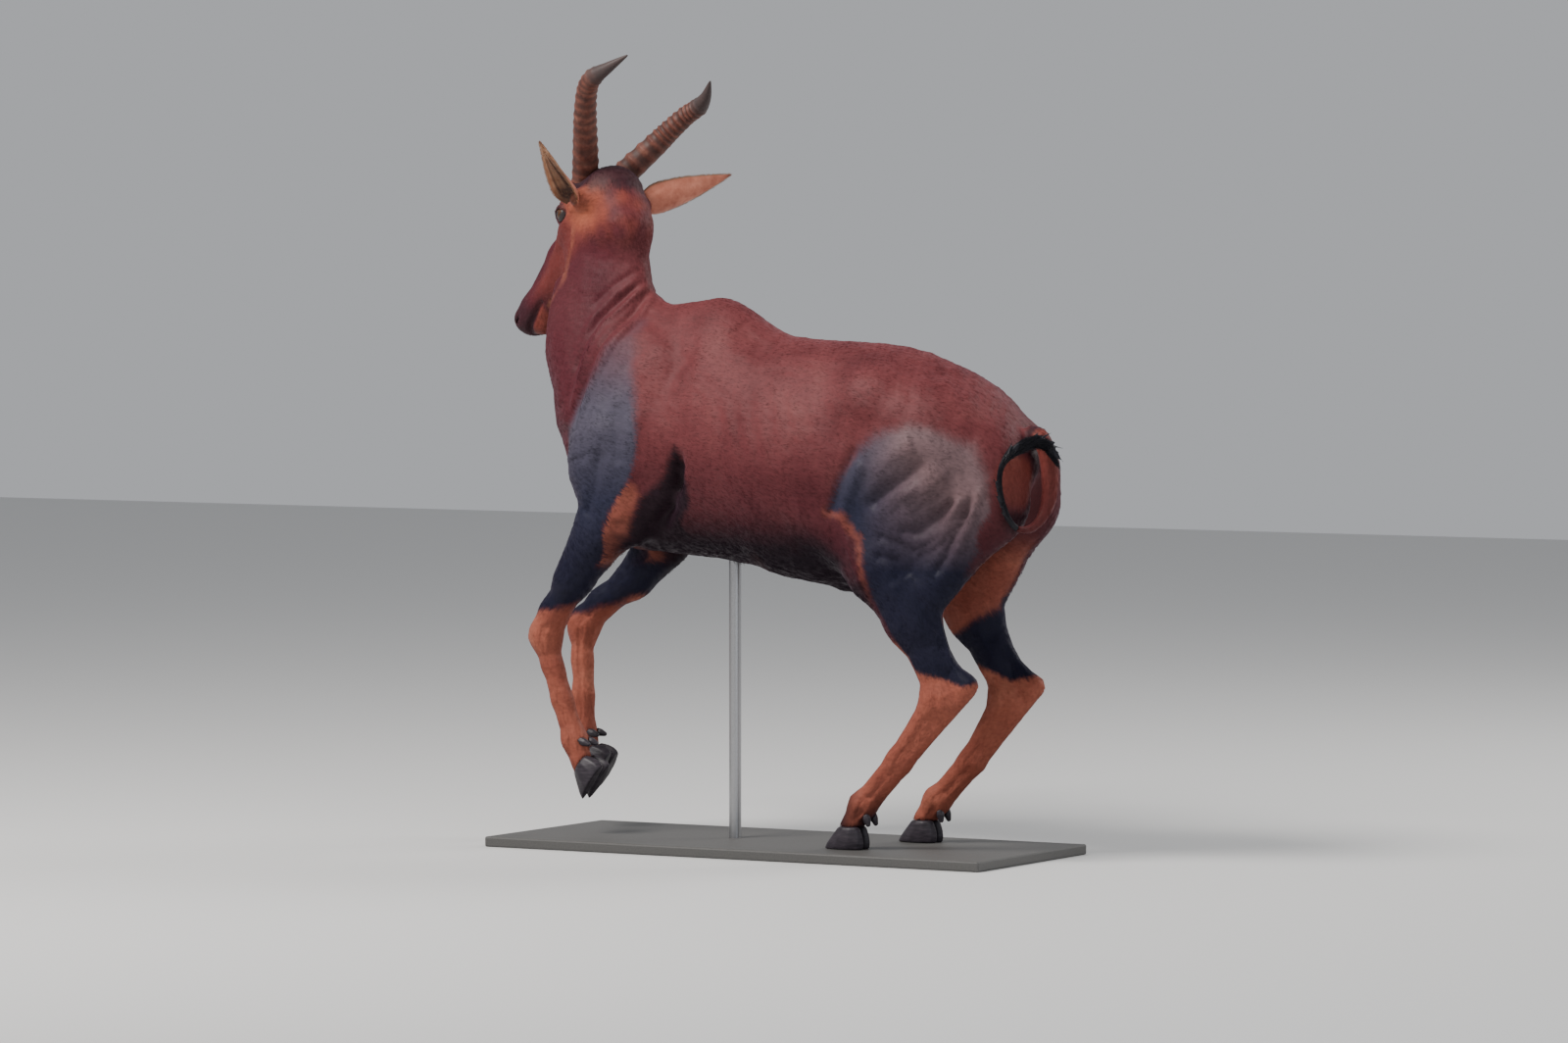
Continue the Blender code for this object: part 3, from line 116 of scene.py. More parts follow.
# The head's own directions: towards the nose, towards its left, towards the crown
turn = Vector((-cos(HEAD_TURN), sin(HEAD_TURN), 0))
FORE = turn * cos(HEAD_PITCH) + Vector((0, 0, -sin(HEAD_PITCH)))
upright = turn * sin(HEAD_PITCH) + Vector((0, 0, cos(HEAD_PITCH)))
level = Vector((-turn.y, turn.x, 0))
LEFT = level * cos(HEAD_ROLL) + upright * sin(HEAD_ROLL)
CROWN = upright * cos(HEAD_ROLL) - level * sin(HEAD_ROLL)


def head_point(fore, left, crown):
    return HEAD_AT + FORE * fore + LEFT * left + CROWN * crown


def in_head(pts):
    return (pts - np.array(HEAD_AT)) @ np.array([FORE, LEFT, CROWN]).T


def eye_axes(side, fore, crown):
    """The middle of the left (1) or right (-1) eye, where it looks, its level and upward directions."""
    out = (LEFT * side + FORE * fore + CROWN * crown).normalized()
    level = (FORE - out * FORE.dot(out)).normalized()
    return head_point(*EYE_PLACE * (1, side, 1)), out, level, out.cross(level).normalized()


def ear_axes(root, tip, open_to):
    """The foot of an ear, its length, its direction and the way its cup opens."""
    foot = head_point(*root)
    axis = Vector(tip) + LIFT - foot
    length = axis.length
    axis.normalize()
    return foot, length, axis, (Vector(open_to) - axis * axis.dot(Vector(open_to))).normalized()


# Meshes

def new_object(name, data):
    thing = bpy.data.objects.new(name, data)
    bpy.context.scene.collection.objects.link(thing)
    return thing


def mesh_object(name, pts, faces):
    """A mesh from arrays: places n x 3, faces m x k."""
    mesh = bpy.data.meshes.new(name)
    faces = np.asarray(faces, dtype=np.int32)
    count, corners = faces.shape
    mesh.vertices.add(len(pts))
    mesh.vertices.foreach_set("co", np.asarray(pts, dtype=np.float32).ravel())
    mesh.loops.add(faces.size)
    mesh.loops.foreach_set("vertex_index", faces.ravel())
    mesh.polygons.add(count)
    mesh.polygons.foreach_set("loop_start", np.arange(0, faces.size, corners, dtype=np.int32))
    mesh.update(calc_edges=True)
    return new_object(name, mesh)


def rows_of(items, key, width, kind):
    """One property of every item of a mesh, as the rows of an array."""
    flat = np.empty(len(items) * width, dtype=kind)
    items.foreach_get(key, flat)
    return flat.reshape(-1, width)


def points_of(mesh):
    return rows_of(mesh.vertices, "co", 3, np.float32).astype(np.float64)


def normals_of(mesh):
    return rows_of(mesh.vertex_normals, "vector", 3, np.float32).astype(np.float64)


def edges_of(mesh):
    return rows_of(mesh.edges, "vertices", 2, np.int32)


def set_points(mesh, pts):
    mesh.vertices.foreach_set("co", np.asarray(pts, dtype=np.float32).ravel())
    mesh.update()


def dress(piece, material):
    """Smooth shading, one material, and a place on the body."""
    mesh = piece.data
    mesh.polygons.foreach_set("use_smooth", np.ones(len(mesh.polygons), dtype=bool))
    mesh.materials.clear()
    mesh.materials.append(material)
    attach(piece, "root")


def colour_layer(mesh, name, colours, alpha=1):
    """A colour attribute on the points: n x 3 values and an alpha."""
    values = np.ones((len(colours), 4), dtype=np.float32)
    values[:, :3] = colours
    values[:, 3] = alpha
    mesh.color_attributes.new(name, "FLOAT_COLOR", "POINT").data.foreach_set("color", values.ravel())


def remeshed(name, nodes, voxel):
    """One closed mesh of small even faces round copies of CAD nodes, in world places."""
    bm = bmesh.new()
    for node in nodes:
        mesh = NODES[node].data.copy()
        mesh.transform(NODES[node].matrix_world)
        bm.from_mesh(mesh)
        bpy.data.meshes.remove(mesh)
    mesh = bpy.data.meshes.new(name)
    bm.to_mesh(mesh)
    bm.free()
    thing = new_object(name, mesh)
    change = thing.modifiers.new("voxels", "REMESH")
    change.mode = "VOXEL"
    change.voxel_size = voxel
    graph = bpy.context.evaluated_depsgraph_get()
    thing.data = bpy.data.meshes.new_from_object(thing.evaluated_get(graph))
    thing.modifiers.clear()
    bpy.data.meshes.remove(mesh)
    return thing


def relax(pts, edges, rounds, weight=1, pull=0.5):
    """Moves each point towards the mean of its neighbours."""
    count = len(pts)
    share = pull * np.broadcast_to(weight, count)[:, None]
    a, b = edges.T
    degree = np.maximum(np.bincount(a, minlength=count) + np.bincount(b, minlength=count), 1)
    for _ in range(rounds):
        totals = [np.bincount(a, column[b], count) + np.bincount(b, column[a], count) for column in pts.T]
        pts += share * (np.stack(totals, axis=1) / degree[:, None] - pts)


def swept_faces(rows, around, closed=False):
    """Quads between the neighbouring rings of a swept form."""
    index = np.arange(rows * around).reshape(rows, around)
    if closed:
        index = np.vstack([index, index[:1]])
    ahead = np.roll(index, -1, axis=1)
    return np.stack([index[:-1], ahead[:-1], ahead[1:], index[1:]], axis=-1).reshape(-1, 4)


def closed_piece(name, pts, faces, material, mask=None, weld=False):
    """A piece from arrays with its faces turned outwards and perhaps a mask: a name and its colours."""
    piece = mesh_object(name, pts, faces)
    if mask:
        colour_layer(piece.data, *mask)
    bm = bmesh.new()
    bm.from_mesh(piece.data)
    if weld:
        bmesh.ops.remove_doubles(bm, verts=bm.verts, dist=1e-6)
    bmesh.ops.recalc_face_normals(bm, faces=bm.faces)
    bm.to_mesh(piece.data)
    bm.free()
    dress(piece, material)
    return piece


# Measures of many places at once

def fade(low, high, value):
    """A smooth step from 0 at low to 1 at high, which may lie below it."""
    t = np.clip((value - low) / (high - low), 0, 1)
    return t * t * (3 - 2 * t)


def fades(*steps):
    """The product of steps given as low, high, value after one another."""
    product = 1
    for k in range(0, len(steps), 3):
        product = product * fade(*steps[k:k + 3])
    return product


def window(value, low, rise, drop, high):
    """1 from rise to drop, and 0 below low and above high."""
    return fades(low, rise, value, high, drop, value)


def bell(value, width):
    return np.exp(-(value / width) ** 2)


def raised(mask, value):
    """Raises a mask where the value is higher."""
    np.maximum(mask, value, out=mask)


def unit(rows):
    return rows / np.maximum(np.linalg.norm(rows, axis=-1, keepdims=True), 1e-9)


def gap_to(pts, place):
    return np.linalg.norm(pts - np.array(place), axis=1)


def follow_path(pts, path):
    """The nearest place on a path of straight pieces: gap, share of the way, place and direction."""
    path = np.asarray(path, dtype=float)
    pieces, count = len(path) - 1, len(pts)
    best = [np.full(count, 1e9), np.zeros(count), np.zeros(pts.shape), np.zeros(pts.shape)]
    for i in range(pieces):
        start, line = path[i], path[i + 1] - path[i]
        t = np.clip(((pts - start) @ line) / (line @ line), 0, 1)
        spot = start + t[:, None] * line
        gap = np.linalg.norm(pts - spot, axis=1)
        nearer = gap < best[0]
        way = np.broadcast_to(line / np.linalg.norm(line), spot.shape)
        for kept, found in zip(best, (gap, (i + t) / pieces, spot, way)):
            kept[nearer] = found[nearer]
    return best


def path_gap(pts, path):
    return follow_path(pts, path)[0]


def inside_outline(flat, outline):
    """Signed distance in a plane to a closed outline, negative inside."""
    ring = [*outline, outline[0]]
    x, z = flat.T
    inside = np.zeros(len(flat), dtype=bool)
    for (x0, z0), (x1, z1) in zip(ring, ring[1:]):
        if z0 != z1:
            inside ^= ((z0 > z) != (z1 > z)) & (x < (x1 - x0) * (z - z0) / (z1 - z0) + x0)
    return np.where(inside, -1, 1) * path_gap(flat, ring)


def ripple(pts, scale, seed):
    """Smooth noise from sums of waves in fixed random directions, about -1 to 1."""
    waves, total = 14, 0
    wave = np.random.default_rng(900 + seed)
    for _ in range(waves):
        direction = unit(wave.normal(size=3))
        size = wave.uniform(0.6, 1.6) * 2 * pi / scale
        total = total + np.sin(pts @ direction * size + wave.uniform(0, 6.28))
    return total / 4.5


def curve_through(stops, count):
    """Evenly counted places on a smooth curve through the stops."""
    ends = [stops[0] * 2 - stops[1]] + stops + [stops[-1] * 2 - stops[-2]]
    places, last = [], len(stops) - 1
    for i in range(count):
        t = i / (count - 1) * last
        k = min(int(t), last - 1)
        u = t - k
        a, b, c, d = ends[k:k + 4]
        places.append(0.5 * ((2 * b) + (c - a) * u + (2 * a - 5 * b + 4 * c - d) * u * u
                             + (3 * b - a - 3 * c + d) * u ** 3))
    return places


# Forms of the skin, pushed in or out on both sides

SIDE_FORMS = [
    # Depth, width and a path seen from the side as (x, z), in millimetres.
    # Folds from the withers round the base of the neck
    (5, 10, (-341, 1277), (-350, 1221), (-379, 1176), (-408, 1116), (-433, 1052), (-455, 984)),
    (-7, 10, (-348, 1288), (-368, 1238), (-404, 1190), (-433, 1130), (-455, 1060), (-474, 990)),
    (4.2, 9, (-357, 1299), (-390, 1259), (-435, 1209), (-461, 1141), (-477, 1062), (-493, 1005)),
    (-4.5, 9, (-370, 1300), (-404, 1264), (-447, 1214), (-476, 1150), (-494, 1080)),
    (3, 9, (-378, 1312), (-420, 1276), (-462, 1228), (-492, 1165)),
    (-2.6, 8, (-386, 1330), (-430, 1296), (-475, 1250)),
    # Shoulder blade: its spine, its rear edge, the point of the shoulder
    (5, 30, (-250, 1180), (-330, 1060), (-400, 940)),
    (-5, 26, (-185, 1165), (-235, 1060), (-275, 960), (-285, 890)),
    (5, 40, (-470, 960), (-450, 900)),
    (-5.5, 16, (-380, 930), (-395, 840), (-430, 760)),
    (6, 26, (-330, 900), (-335, 820), (-345, 750)),
    # Deep fold behind the elbow
    (-16, 17, (-174, 905), (-190, 850), (-225, 785), (-270, 735)),
    (-8, 10, (-172, 915), (-184, 870), (-200, 820)),
    # Hollow behind the withers
    (-5, 22, (-90, 1215), (-45, 1170), (20, 1140)),
    # Flank and the front edge of the thigh
    (-6, 14, (225, 780), (247, 815), (280, 894), (301, 946)),
    (5, 18, (258, 780), (285, 850), (318, 910)),
    (5.5, 13, (257, 798), (267, 743), (291, 689), (318, 620)),
    # Muscles of the thigh
    (-11, 16, (322, 804), (368, 841), (427, 875), (478, 914)),
    (7, 24, (345, 875), (400, 925), (450, 955)),
    (6, 22, (400, 830), (470, 850), (520, 900)),
    (-7, 12, (396, 753), (448, 753), (498, 791), (532, 830)),
    (6, 14, (430, 715), (500, 755), (555, 840)),
    (-8, 12, (480, 650), (512, 705), (550, 775), (580, 840)),
    (6, 13, (525, 700), (572, 780), (600, 860)),
    (-5, 12, (345, 700), (394, 684), (427, 651)),
    (-4, 10, (350, 745), (395, 725), (440, 700)),
    (4, 20, (380, 640), (430, 560), (470, 490)),
    (-4, 10, (445, 610), (480, 540), (500, 480)),
]


def side_forms(pts, normals):
    """How far each point of the trunk is pushed along its normal."""
    push = 0
    flat = pts[:, (0, 2)]
    ragged = 1 + 0.25 * ripple(pts, 0.09, 3)
    for depth, width, *path in SIDE_FORMS:
        gap, along = follow_path(flat, mm(*path))[:2]
        width = width / 1000
        ends = fades(0, 0.12, along, 0, 0.12, 1 - along) * 0.75 + 0.25
        shape = bell(gap, width) * ends * ragged
        push = push + np.where(gap < width * 3, depth / 1000 * shape, 0)
    outer = normals[:, 1] * np.sign(pts[:, 1]) > 0
    return push * fade(0.1, 0.45, np.abs(normals[:, 1])) * outer


def rib_forms(pts, normals):
    """Ribs that show faintly through the skin of the flank."""
    x, _, z = pts.T
    rib_spacing = 0.046
    lean = x + 0.35 * (z - 0.9)
    ribs = np.cos((lean + 0.1) * 2 * pi / rib_spacing)
    flank = window(x, -0.13, -0.04, 0.16, 0.27) * window(z, 0.7, 0.8, 1, 1.1)
    return 0.0011 * ribs * flank * np.abs(normals[:, 1]) * (0.6 + 0.5 * ripple(pts, 0.12, 7))


def thigh_folds(pts, normals):
    """Fine slanting folds over the muscles of the thigh."""
    x, y, z = pts.T
    across = -0.62 * x + 0.78 * z + 0.006 * ripple(pts, 0.09, 30)
    wave = np.cos(across * 2 * pi / 0.03) + 0.5 * np.cos(across * 2 * pi / 0.017 + 1)
    thigh = window(x, 0.36, 0.43, 0.57, 0.63) * window(z, 0.62, 0.72, 0.84, 0.93)
    thigh *= 0.5 + 0.5 * ripple(pts, 0.08, 31)
    return 0.0012 * wave * thigh * fade(0.2, 0.6, normals[:, 1] * np.sign(y))


def fine_wrinkles(pts):
    """Small wrinkles and muscle ripples, stronger at the shoulder, flank and thigh."""
    strength = 0.35 + 0.65 * bell(pts[:, 0] - 0.42, 0.16) + 0.5 * bell(pts[:, 0] + 0.42, 0.14)
    stretched = pts * np.array([1, 1, 0.55])
    return strength * (ripple(stretched, 0.05, 1) * 0.0009) + ripple(stretched, 0.017, 2) * 0.00028


def leg_grooves(pts, normals):
    """The groove of each leg between the bone and the tendons behind it."""
    push = 0
    groove = bell(normals[:, 0] - 0.22, 0.16) * fade(0.5, 0.9, np.abs(normals[:, 1]))
    for joints in LEG_PATHS:
        gap, along = follow_path(pts, joints[2:])[:2]
        near = fades(0.07, 0.045, gap, 0.02, 0.12, along)
        push = push - 0.003 * groove * near * fade(0.95, 0.8, along)
    return push


def brows(pts):
    """A hollow round the eyelids and a fold above each eye."""
    push = 0
    for side in (-1, 1):
        fore, out, rise = (in_head(pts) - EYE_PLACE * (1, side, 1)).T
        ring = np.sqrt(((fore - 0.004) / 1.5) ** 2 + rise ** 2)
        outer = fade(-0.006, 0.01, out * side)
        push = push - 0.0024 * bell(ring - 0.0205, 0.003) * outer
        push += 0.0026 * (bell(ring - 0.0265, 0.0036) * fade(-0.002, 0.012, rise)) * outer
    return push


# Markings: masks from 0 to 1 that the skin and the coat share

CROWN_TOP = 1.566
MOUTH = np.array(mm((466, 3, -76), (453, 18, -77), (427, 31, -79), (392, 36, -82), (348, 41, -88)))
SHOULDER_PATCH = mm(
    (-335, 1215), (-322, 1110), (-300, 1020), (-296, 930), (-320, 850), (-362, 785), (-385, 725),
    (-398, 665), (-435, 622), (-468, 575), (-500, 560), (-560, 555), (-640, 540), (-620, 640), (-540, 760),
    (-500, 860), (-510, 950), (-480, 1010), (-440, 1065), (-395, 1160))
HAUNCH_PATCH = mm(
    (222, 795), (250, 850), (288, 915), (340, 968), (427, 994), (508, 978), (571, 945), (610, 885),
    (618, 800), (575, 715), (540, 650), (520, 600), (530, 540), (600, 470), (600, 418), (540, 405),
    (480, 425), (425, 440), (385, 500), (330, 600), (322, 660), (305, 735), (262, 790))
ARMPIT = mm(
    (-187, 936), (-218, 871), (-264, 832), (-298, 809), (-312, 769), (-326, 728), (-342, 695), (-350, 650),
    (-200, 645), (-30, 645), (-31, 673), (-90, 686), (-166, 714), (-200, 748), (-162, 800), (-154, 848),
    (-174, 902))
ELBOW_STRIP = mm((-318, 818), (-338, 777), (-356, 728), (-375, 686), (-392, 650))
NECK_STREAK = mm((-487, 1473), (-494, 1386), (-513, 1309), (-550, 1245))
SHEATH = mm((226, 0, 614), (236, 0, 608))


def markings(pts, normals):
    """Masks of the coat's colours by place: patch, tan, painted shade with dark hair, blaze, warm, and pale
    with a painted highlight.
    """
    x, y, z = pts.T
    flat = pts[:, (0, 2)]
    outward = normals[:, 1] * np.sign(y)
    wobble = 0.006 * ripple(pts, 0.11, 11) + 0.0022 * ripple(pts, 0.013, 12)
    wobble += 0.0016 * ripple(pts, 0.005, 13)
    outside = fade(0.035, 0.075, np.abs(y))

    # Dark patches of the shoulder and the haunch, softer at their upper ends
    edge = (inside_outline(flat, SHOULDER_PATCH) + wobble) / (0.006 + 0.016 * fade(0.85, 1.1, z))
    patch = fade(1, -1, edge) * outside * (1 - 0.6 * fade(1, 1.2, z))
    haunch = inside_outline(flat, HAUNCH_PATCH) + wobble
    edge = haunch / (0.007 + 0.014 * fade(0.75, 0.95, z))
    inner = fade(0.015, -0.015, z + wobble - 0.53 - 0.6 * (x - 0.44))
    raised(patch, fade(1, -1, edge) * np.maximum(fade(-0.55, 0.05, outward), inner))

    # Lower legs, with the dark colour ending above the knees and hocks
    rear = fade(0, 0.1, x)
    knee = np.where(y < 0, 0.56, 0.552) + 0.25 * (x + 0.5) * (1 - rear)
    hock = np.where(y < 0, 0.492, 0.44) - 0.12 * (x - 0.47) * rear
    tan = fade(0.014, -0.014, z + wobble - np.where(x < 0, knee, hock))
    raised(tan, 0.75 * (fades(0.1, -0.45, outward, 0.76, 0.66, z) * rear) * (1 - patch))
    edge = np.abs(haunch - 0.004)
    raised(tan, 0.38 * fades(0.016, 0.004, edge, 0.82, 0.78, z, 0.34, 0.31, x, 0.56, 0.62, z))
    for joints in (FORE_LEFT, FORE_RIGHT):
        sleeve = fades(0.095, 0.075, path_gap(pts, joints[:3]), 0.668, 0.64, z + wobble)
        raised(patch, sleeve * (1 - tan))
    elbow = fade(0.036, 0.014, path_gap(flat, ELBOW_STRIP) + wobble)
    inner_arm = fade(0.042, 0.024, gap_to(pts, (-0.392, 0.066, 0.668)) + wobble)
    raised(tan, 0.66 * np.where(y < 0, elbow, inner_arm) * (1 - patch))
    sheath = fade(0.03, 0.018, path_gap(pts, SHEATH))
    raised(tan, sheath)

    # Painted shade under the belly, round the tail's root and in the armpit; the armpit's hair is dark too
    shade_and_dark_hair = fades(0.1, -0.75, normals[:, 2], 0.8, 0.7, z) * window(x, -0.42, -0.34, 0.28, 0.36)
    limb = path_gap(pts, TAIL[1:8])
    # Painted shadow in a ring where the tail lies against the rump
    raised(shade_and_dark_hair, 0.75 * (window(limb, 0.019, 0.026, 0.032, 0.05) * fade(0.62, 0.66, x)))
    pit = inside_outline(flat, ARMPIT) + wobble
    raised(shade_and_dark_hair, 0.94 * fade(0.012, -0.01, pit) * outside)
    raised(shade_and_dark_hair, fades(0.715, 0.675, z, -0.36, -0.3, x, 0.3, 0.22, x))
    shade_and_dark_hair *= 1 - sheath

    # Dark blaze from the crown down the face to the muzzle, and round the horns
    head = in_head(pts)
    fore, side, rise = head.T
    on_head = fades(0, 0.05, fore, -0.26, -0.2, rise)
    front = fades(0.04, 0.026, np.abs(side) + wobble, -0.075, -0.04, rise, 0.5, 0.46, fore)
    blaze = front * on_head * fade(-0.02, 0.03, fore)
    muzzle = fades(0.36, 0.42, fore, -0.13, -0.1, rise)
    lower_lip = fades(0.34, 0.38, fore, -0.078, -0.09, rise)
    blaze = np.maximum(blaze, 0.72 * muzzle * on_head) * (1 - 0.75 * lower_lip)
    crest = bell(fore + 0.002, 0.026) * fade(-0.075, -0.045, rise)
    raised(blaze, crest * fade(0.35, 0.3, np.abs(side)))
    horns = np.minimum(path_gap(pts, HORN_LEFT[:2]), path_gap(pts, HORN_RIGHT[:2]))
    raised(blaze, fades(0.062, 0.046, horns + wobble, -0.1, -0.07, rise))

    # Warm red behind the horns, on the cheeks, the chin and the tail
    on_back = fades(0.14, 0.06, fore, 1.36, 1.45, z)
    glow = bell(gap_to(pts, (-0.535, -0.005, 1.47)), 0.08)
    warm = on_back * (0.06 + 0.85 * glow + 0.22 * ripple(pts, 0.05, 14)) * (1 - blaze)
    cheek = window(fore, -0.01, 0.05, 0.3, 0.42) * fades(1.22, 1.3, z, -0.175, -0.135, rise)
    raised(warm, 0.28 * cheek * fade(-0.02, -0.07, rise))
    raised(warm, 0.55 * lower_lip * on_head)
    raised(warm, 0.6 * fade(0.075, 0.045, gap_to(pts, (0.665, -0.095, 0.868))))
    raised(warm, 0.45 * fades(0.026, 0.02, limb, 0.62, 0.66, x))

    # Painted highlight: a pale streak along the lit ridge down the left of the neck
    aslant = np.stack([0.866 * x + 0.5 * y, z], axis=1)
    line = path_gap(aslant, NECK_STREAK)
    pale = fades(0.008, 0, line + 0.5 * wobble, 0, -0.3, normals[:, 1])
    pale *= 0.45 + 0.2 * ripple(pts, 0.04, 15)
    raised(pale, 0.75 * glow ** 2 * on_back * (1 - blaze))

    # Dark crown and rims of the eyes; painted shade in the roots of the ears and along the mouth
    top = z - 0.1 * np.clip(fore, -1, 0)
    ragged = 1.3 * wobble + 0.006 * ripple(pts, 0.03, 16)
    crown = fades(CROWN_TOP - 0.06, CROWN_TOP - 0.026, top + ragged, 0.07, 0.03, fore)
    raised(blaze, 0.9 * crown * fade(-0.14, -0.1, fore))
    for sign in (-1, 1):
        eye = gap_to(pts, head_point(*EYE_PLACE * (1, sign, 1)))
        raised(blaze, 0.85 * fade(0.031, 0.025, eye))
        lips = path_gap(head, MOUTH * (1, sign, 1))
        raised(shade_and_dark_hair, 0.85 * fade(0.006, 0.002, lips))
    for root, tip, open_to, _ in EARS.values():
        foot, _, axis, mouth = ear_axes(root, tip, open_to)
        raised(shade_and_dark_hair, 0.92 * fade(0.026, 0.017, gap_to(pts, foot + axis * 0.018 + mouth * 0.01)))
    return np.stack([patch, tan, shade_and_dark_hair, blaze, warm, pale], axis=1)


def paint(mesh, masks, shade=1):
    """Keeps the masks on the mesh as two colour attributes, with each tuft's shade as alpha."""
    masks = np.clip(masks, 0, 1)
    colour_layer(mesh, "marks_a", masks[:, :3], shade)
    colour_layer(mesh, "marks_b", masks[:, 3:], shade)


# Materials

class Shader:
    """A short way to build a node material."""

    def __init__(self, name, rough, gloss=0.5, **constants):
        self.material = bpy.data.materials.new(name)
        self.material.use_nodes = True
        self.tree = self.material.node_tree
        self.surface = self.tree.nodes["Principled BSDF"]
        for key, value in dict(constants, Roughness=rough, Specular_IOR_Level=gloss).items():
            self.surface.inputs[key.replace("_", " ")].default_value = value
        self.place = self.node("NewGeometry").outputs["Position"]

    def node(self, kind, inputs=None, **settings):
        """A node with a link, a number or a colour in each of its named inputs."""
        made = self.tree.nodes.new("ShaderNode" + kind)
        for key, value in settings.items():
            setattr(made, key, value)
        for key, value in (inputs or {}).items():
            if isinstance(value, bpy.types.NodeSocket):
                self.tree.links.new(value, made.inputs[key])
            elif made.inputs[key].type == "RGBA":
                made.inputs[key].default_value = (*value, 1)
            else:
                made.inputs[key].default_value = value
        return made

    def stretch(self, scale):
        return self.node("Mapping", {"Scale": scale, "Vector": self.place}).outputs["Vector"]

    def noise(self, scale, detail=4, rough=0.55, vector=None):
        inputs = {"Scale": scale, "Detail": detail, "Roughness": rough, "Vector": vector or self.place}
        return self.node("TexNoise", inputs).outputs["Fac"]

    def ramp(self, value, *stops):
        """Colours along a value, each stop as (value, red, green, blue)."""
        made = self.node("ValToRGB", {"Fac": value})
        elements = made.color_ramp.elements
        for _ in stops[2:]:
            elements.new(0.5)
        for element, (at, *colour) in zip(elements, stops):
            element.position = at
            element.color = (*colour, 1)
        return made.outputs["Color"]

    def mix(self, factor, first, second, blend="MIX"):
        sockets = {0: factor, 6: first, 7: second}
        return self.node("Mix", sockets, data_type="RGBA", blend_type=blend).outputs[2]

    def maths(self, operation, first, second):
        return self.node("Math", {0: first, 1: second}, operation=operation).outputs[0]

    def over(self, colour, tone, mask, share):
        """A tone laid over a colour by a share of a mask."""
        return self.mix(self.maths("MULTIPLY", mask, share), colour, tone)

    def span(self, value, low, high):
        """0 to 1 between two values."""
        return self.node("MapRange", {"Value": value, "From Min": low, "From Max": high}).outputs[0]

    def marks(self, name):
        made = self.node("Attribute", attribute_name=name)
        return self.node("SeparateColor", {"Color": made.outputs["Color"]}).outputs

    def finish(self, colour, height=None, strength=None, distance=None):
        """The material with its colour and, from a height, its bumps."""
        self.tree.links.new(colour, self.surface.inputs["Base Color"])
        if height:
            bump = self.node("Bump", {"Strength": strength, "Distance": distance, "Height": height})
            self.tree.links.new(bump.outputs["Normal"], self.surface.inputs["Normal"])
        return self.material


def coat_material():
    """Short satin coat: mahogany body, blue-black patches, tan lower legs; painted shade and a painted
    highlight.
    """
    look = Shader("topi_coat", 0.56, 0.13, Sheen_Weight=0.055, Sheen_Roughness=0.45,
                    Sheen_Tint=(0.85, 0.6, 0.8, 1))
    patch, tan, shade_and_dark_hair = look.marks("marks_a")
    blaze, warm, pale = look.marks("marks_b")
    x, _, z = look.node("SeparateXYZ", {0: look.place}).outputs
    cloud = look.noise(7, 3)
    grain = look.noise(160, 3, 0.6, look.stretch((0.35, 1, 1)))
    body = look.ramp(cloud, (0.3, 0.088, 0.019, 0.021), (0.52, 0.129, 0.031, 0.033),
                       (0.72, 0.148, 0.041, 0.041))
    # Painted shade: the body darker towards the front of the trunk and over the neck
    body = look.over(body, (0.056, 0.009, 0.016), look.span(x, -0.33, -0.46), 0.7)
    body = look.over(body, (0.32, 0.072, 0.038), warm, 0.8)
    # Painted shade, partly the coat's own darker underside: the body darker towards the belly
    body = look.over(body, (0.034, 0.005, 0.01), look.span(z, 1.02, 0.7), 0.86)
    legs = look.ramp(cloud, (0.3, 0.205, 0.054, 0.036), (0.6, 0.295, 0.088, 0.056),
                       (0.8, 0.345, 0.125, 0.08))
    height = look.span(z, 0.66, 0.98)
    dark = look.ramp(height, (0, 0.005, 0.006, 0.019), (0.45, 0.016, 0.018, 0.038),
                       (1, 0.064, 0.058, 0.082))
    dusty = look.maths("MULTIPLY", look.maths("MULTIPLY", look.span(x, 0.3, 0.52), height), 1.6)
    dark = look.mix(look.maths("MINIMUM", dusty, 0.88), dark, (0.15, 0.09, 0.092))
    dark = look.over(dark, (0.05, 0.04, 0.05), cloud, 0.12)
    colour = look.mix(patch, look.mix(tan, body, legs), dark)
    # Painted shade under the belly, round the tail's root, in the armpit, at the ears' roots and along the
    # mouth
    colour = look.over(colour, (0.006, 0.003, 0.007), shade_and_dark_hair, 0.96)
    colour = look.over(colour, (0.026, 0.012, 0.017), blaze, 0.92)
    # Painted highlight down the left of the neck, and paler behind the head
    colour = look.over(colour, (0.48, 0.18, 0.1), pale, 0.42)
    speck = look.ramp(grain, (0.3, 0.86, 0.85, 0.85), (0.7, 1.1, 1.08, 1.08))
    colour = look.mix(1, colour, speck, "MULTIPLY")
    shade = look.node("Attribute", attribute_name="marks_a").outputs["Alpha"]
    colour = look.node("VectorMath", {0: colour, "Scale": shade}, operation="SCALE").outputs[0]
    hair = look.noise(900, 2, 0.6, look.stretch((0.12, 1, 0.4)))
    relief = look.maths("ADD", look.maths("MULTIPLY", hair, 0.5), grain)
    return look.finish(colour, relief, 0.35, 0.0012)


def horn_material():
    look = Shader("horn_keratin", 0.55, 0.28)
    groove, tip, _ = look.marks("horn_mask")
    base = look.ramp(look.noise(60, 5, 0.6), (0.3, 0.07, 0.022, 0.017),
                       (0.55, 0.15, 0.05, 0.034), (0.8, 0.23, 0.095, 0.064))
    # Painted shade in the grooves between the rings, and the dark tip over it
    colour = look.mix(tip, look.mix(groove, base, (0.03, 0.016, 0.014)), (0.045, 0.036, 0.036))
    return look.finish(colour, look.noise(240, 4, 0.6), 0.35, 0.001)


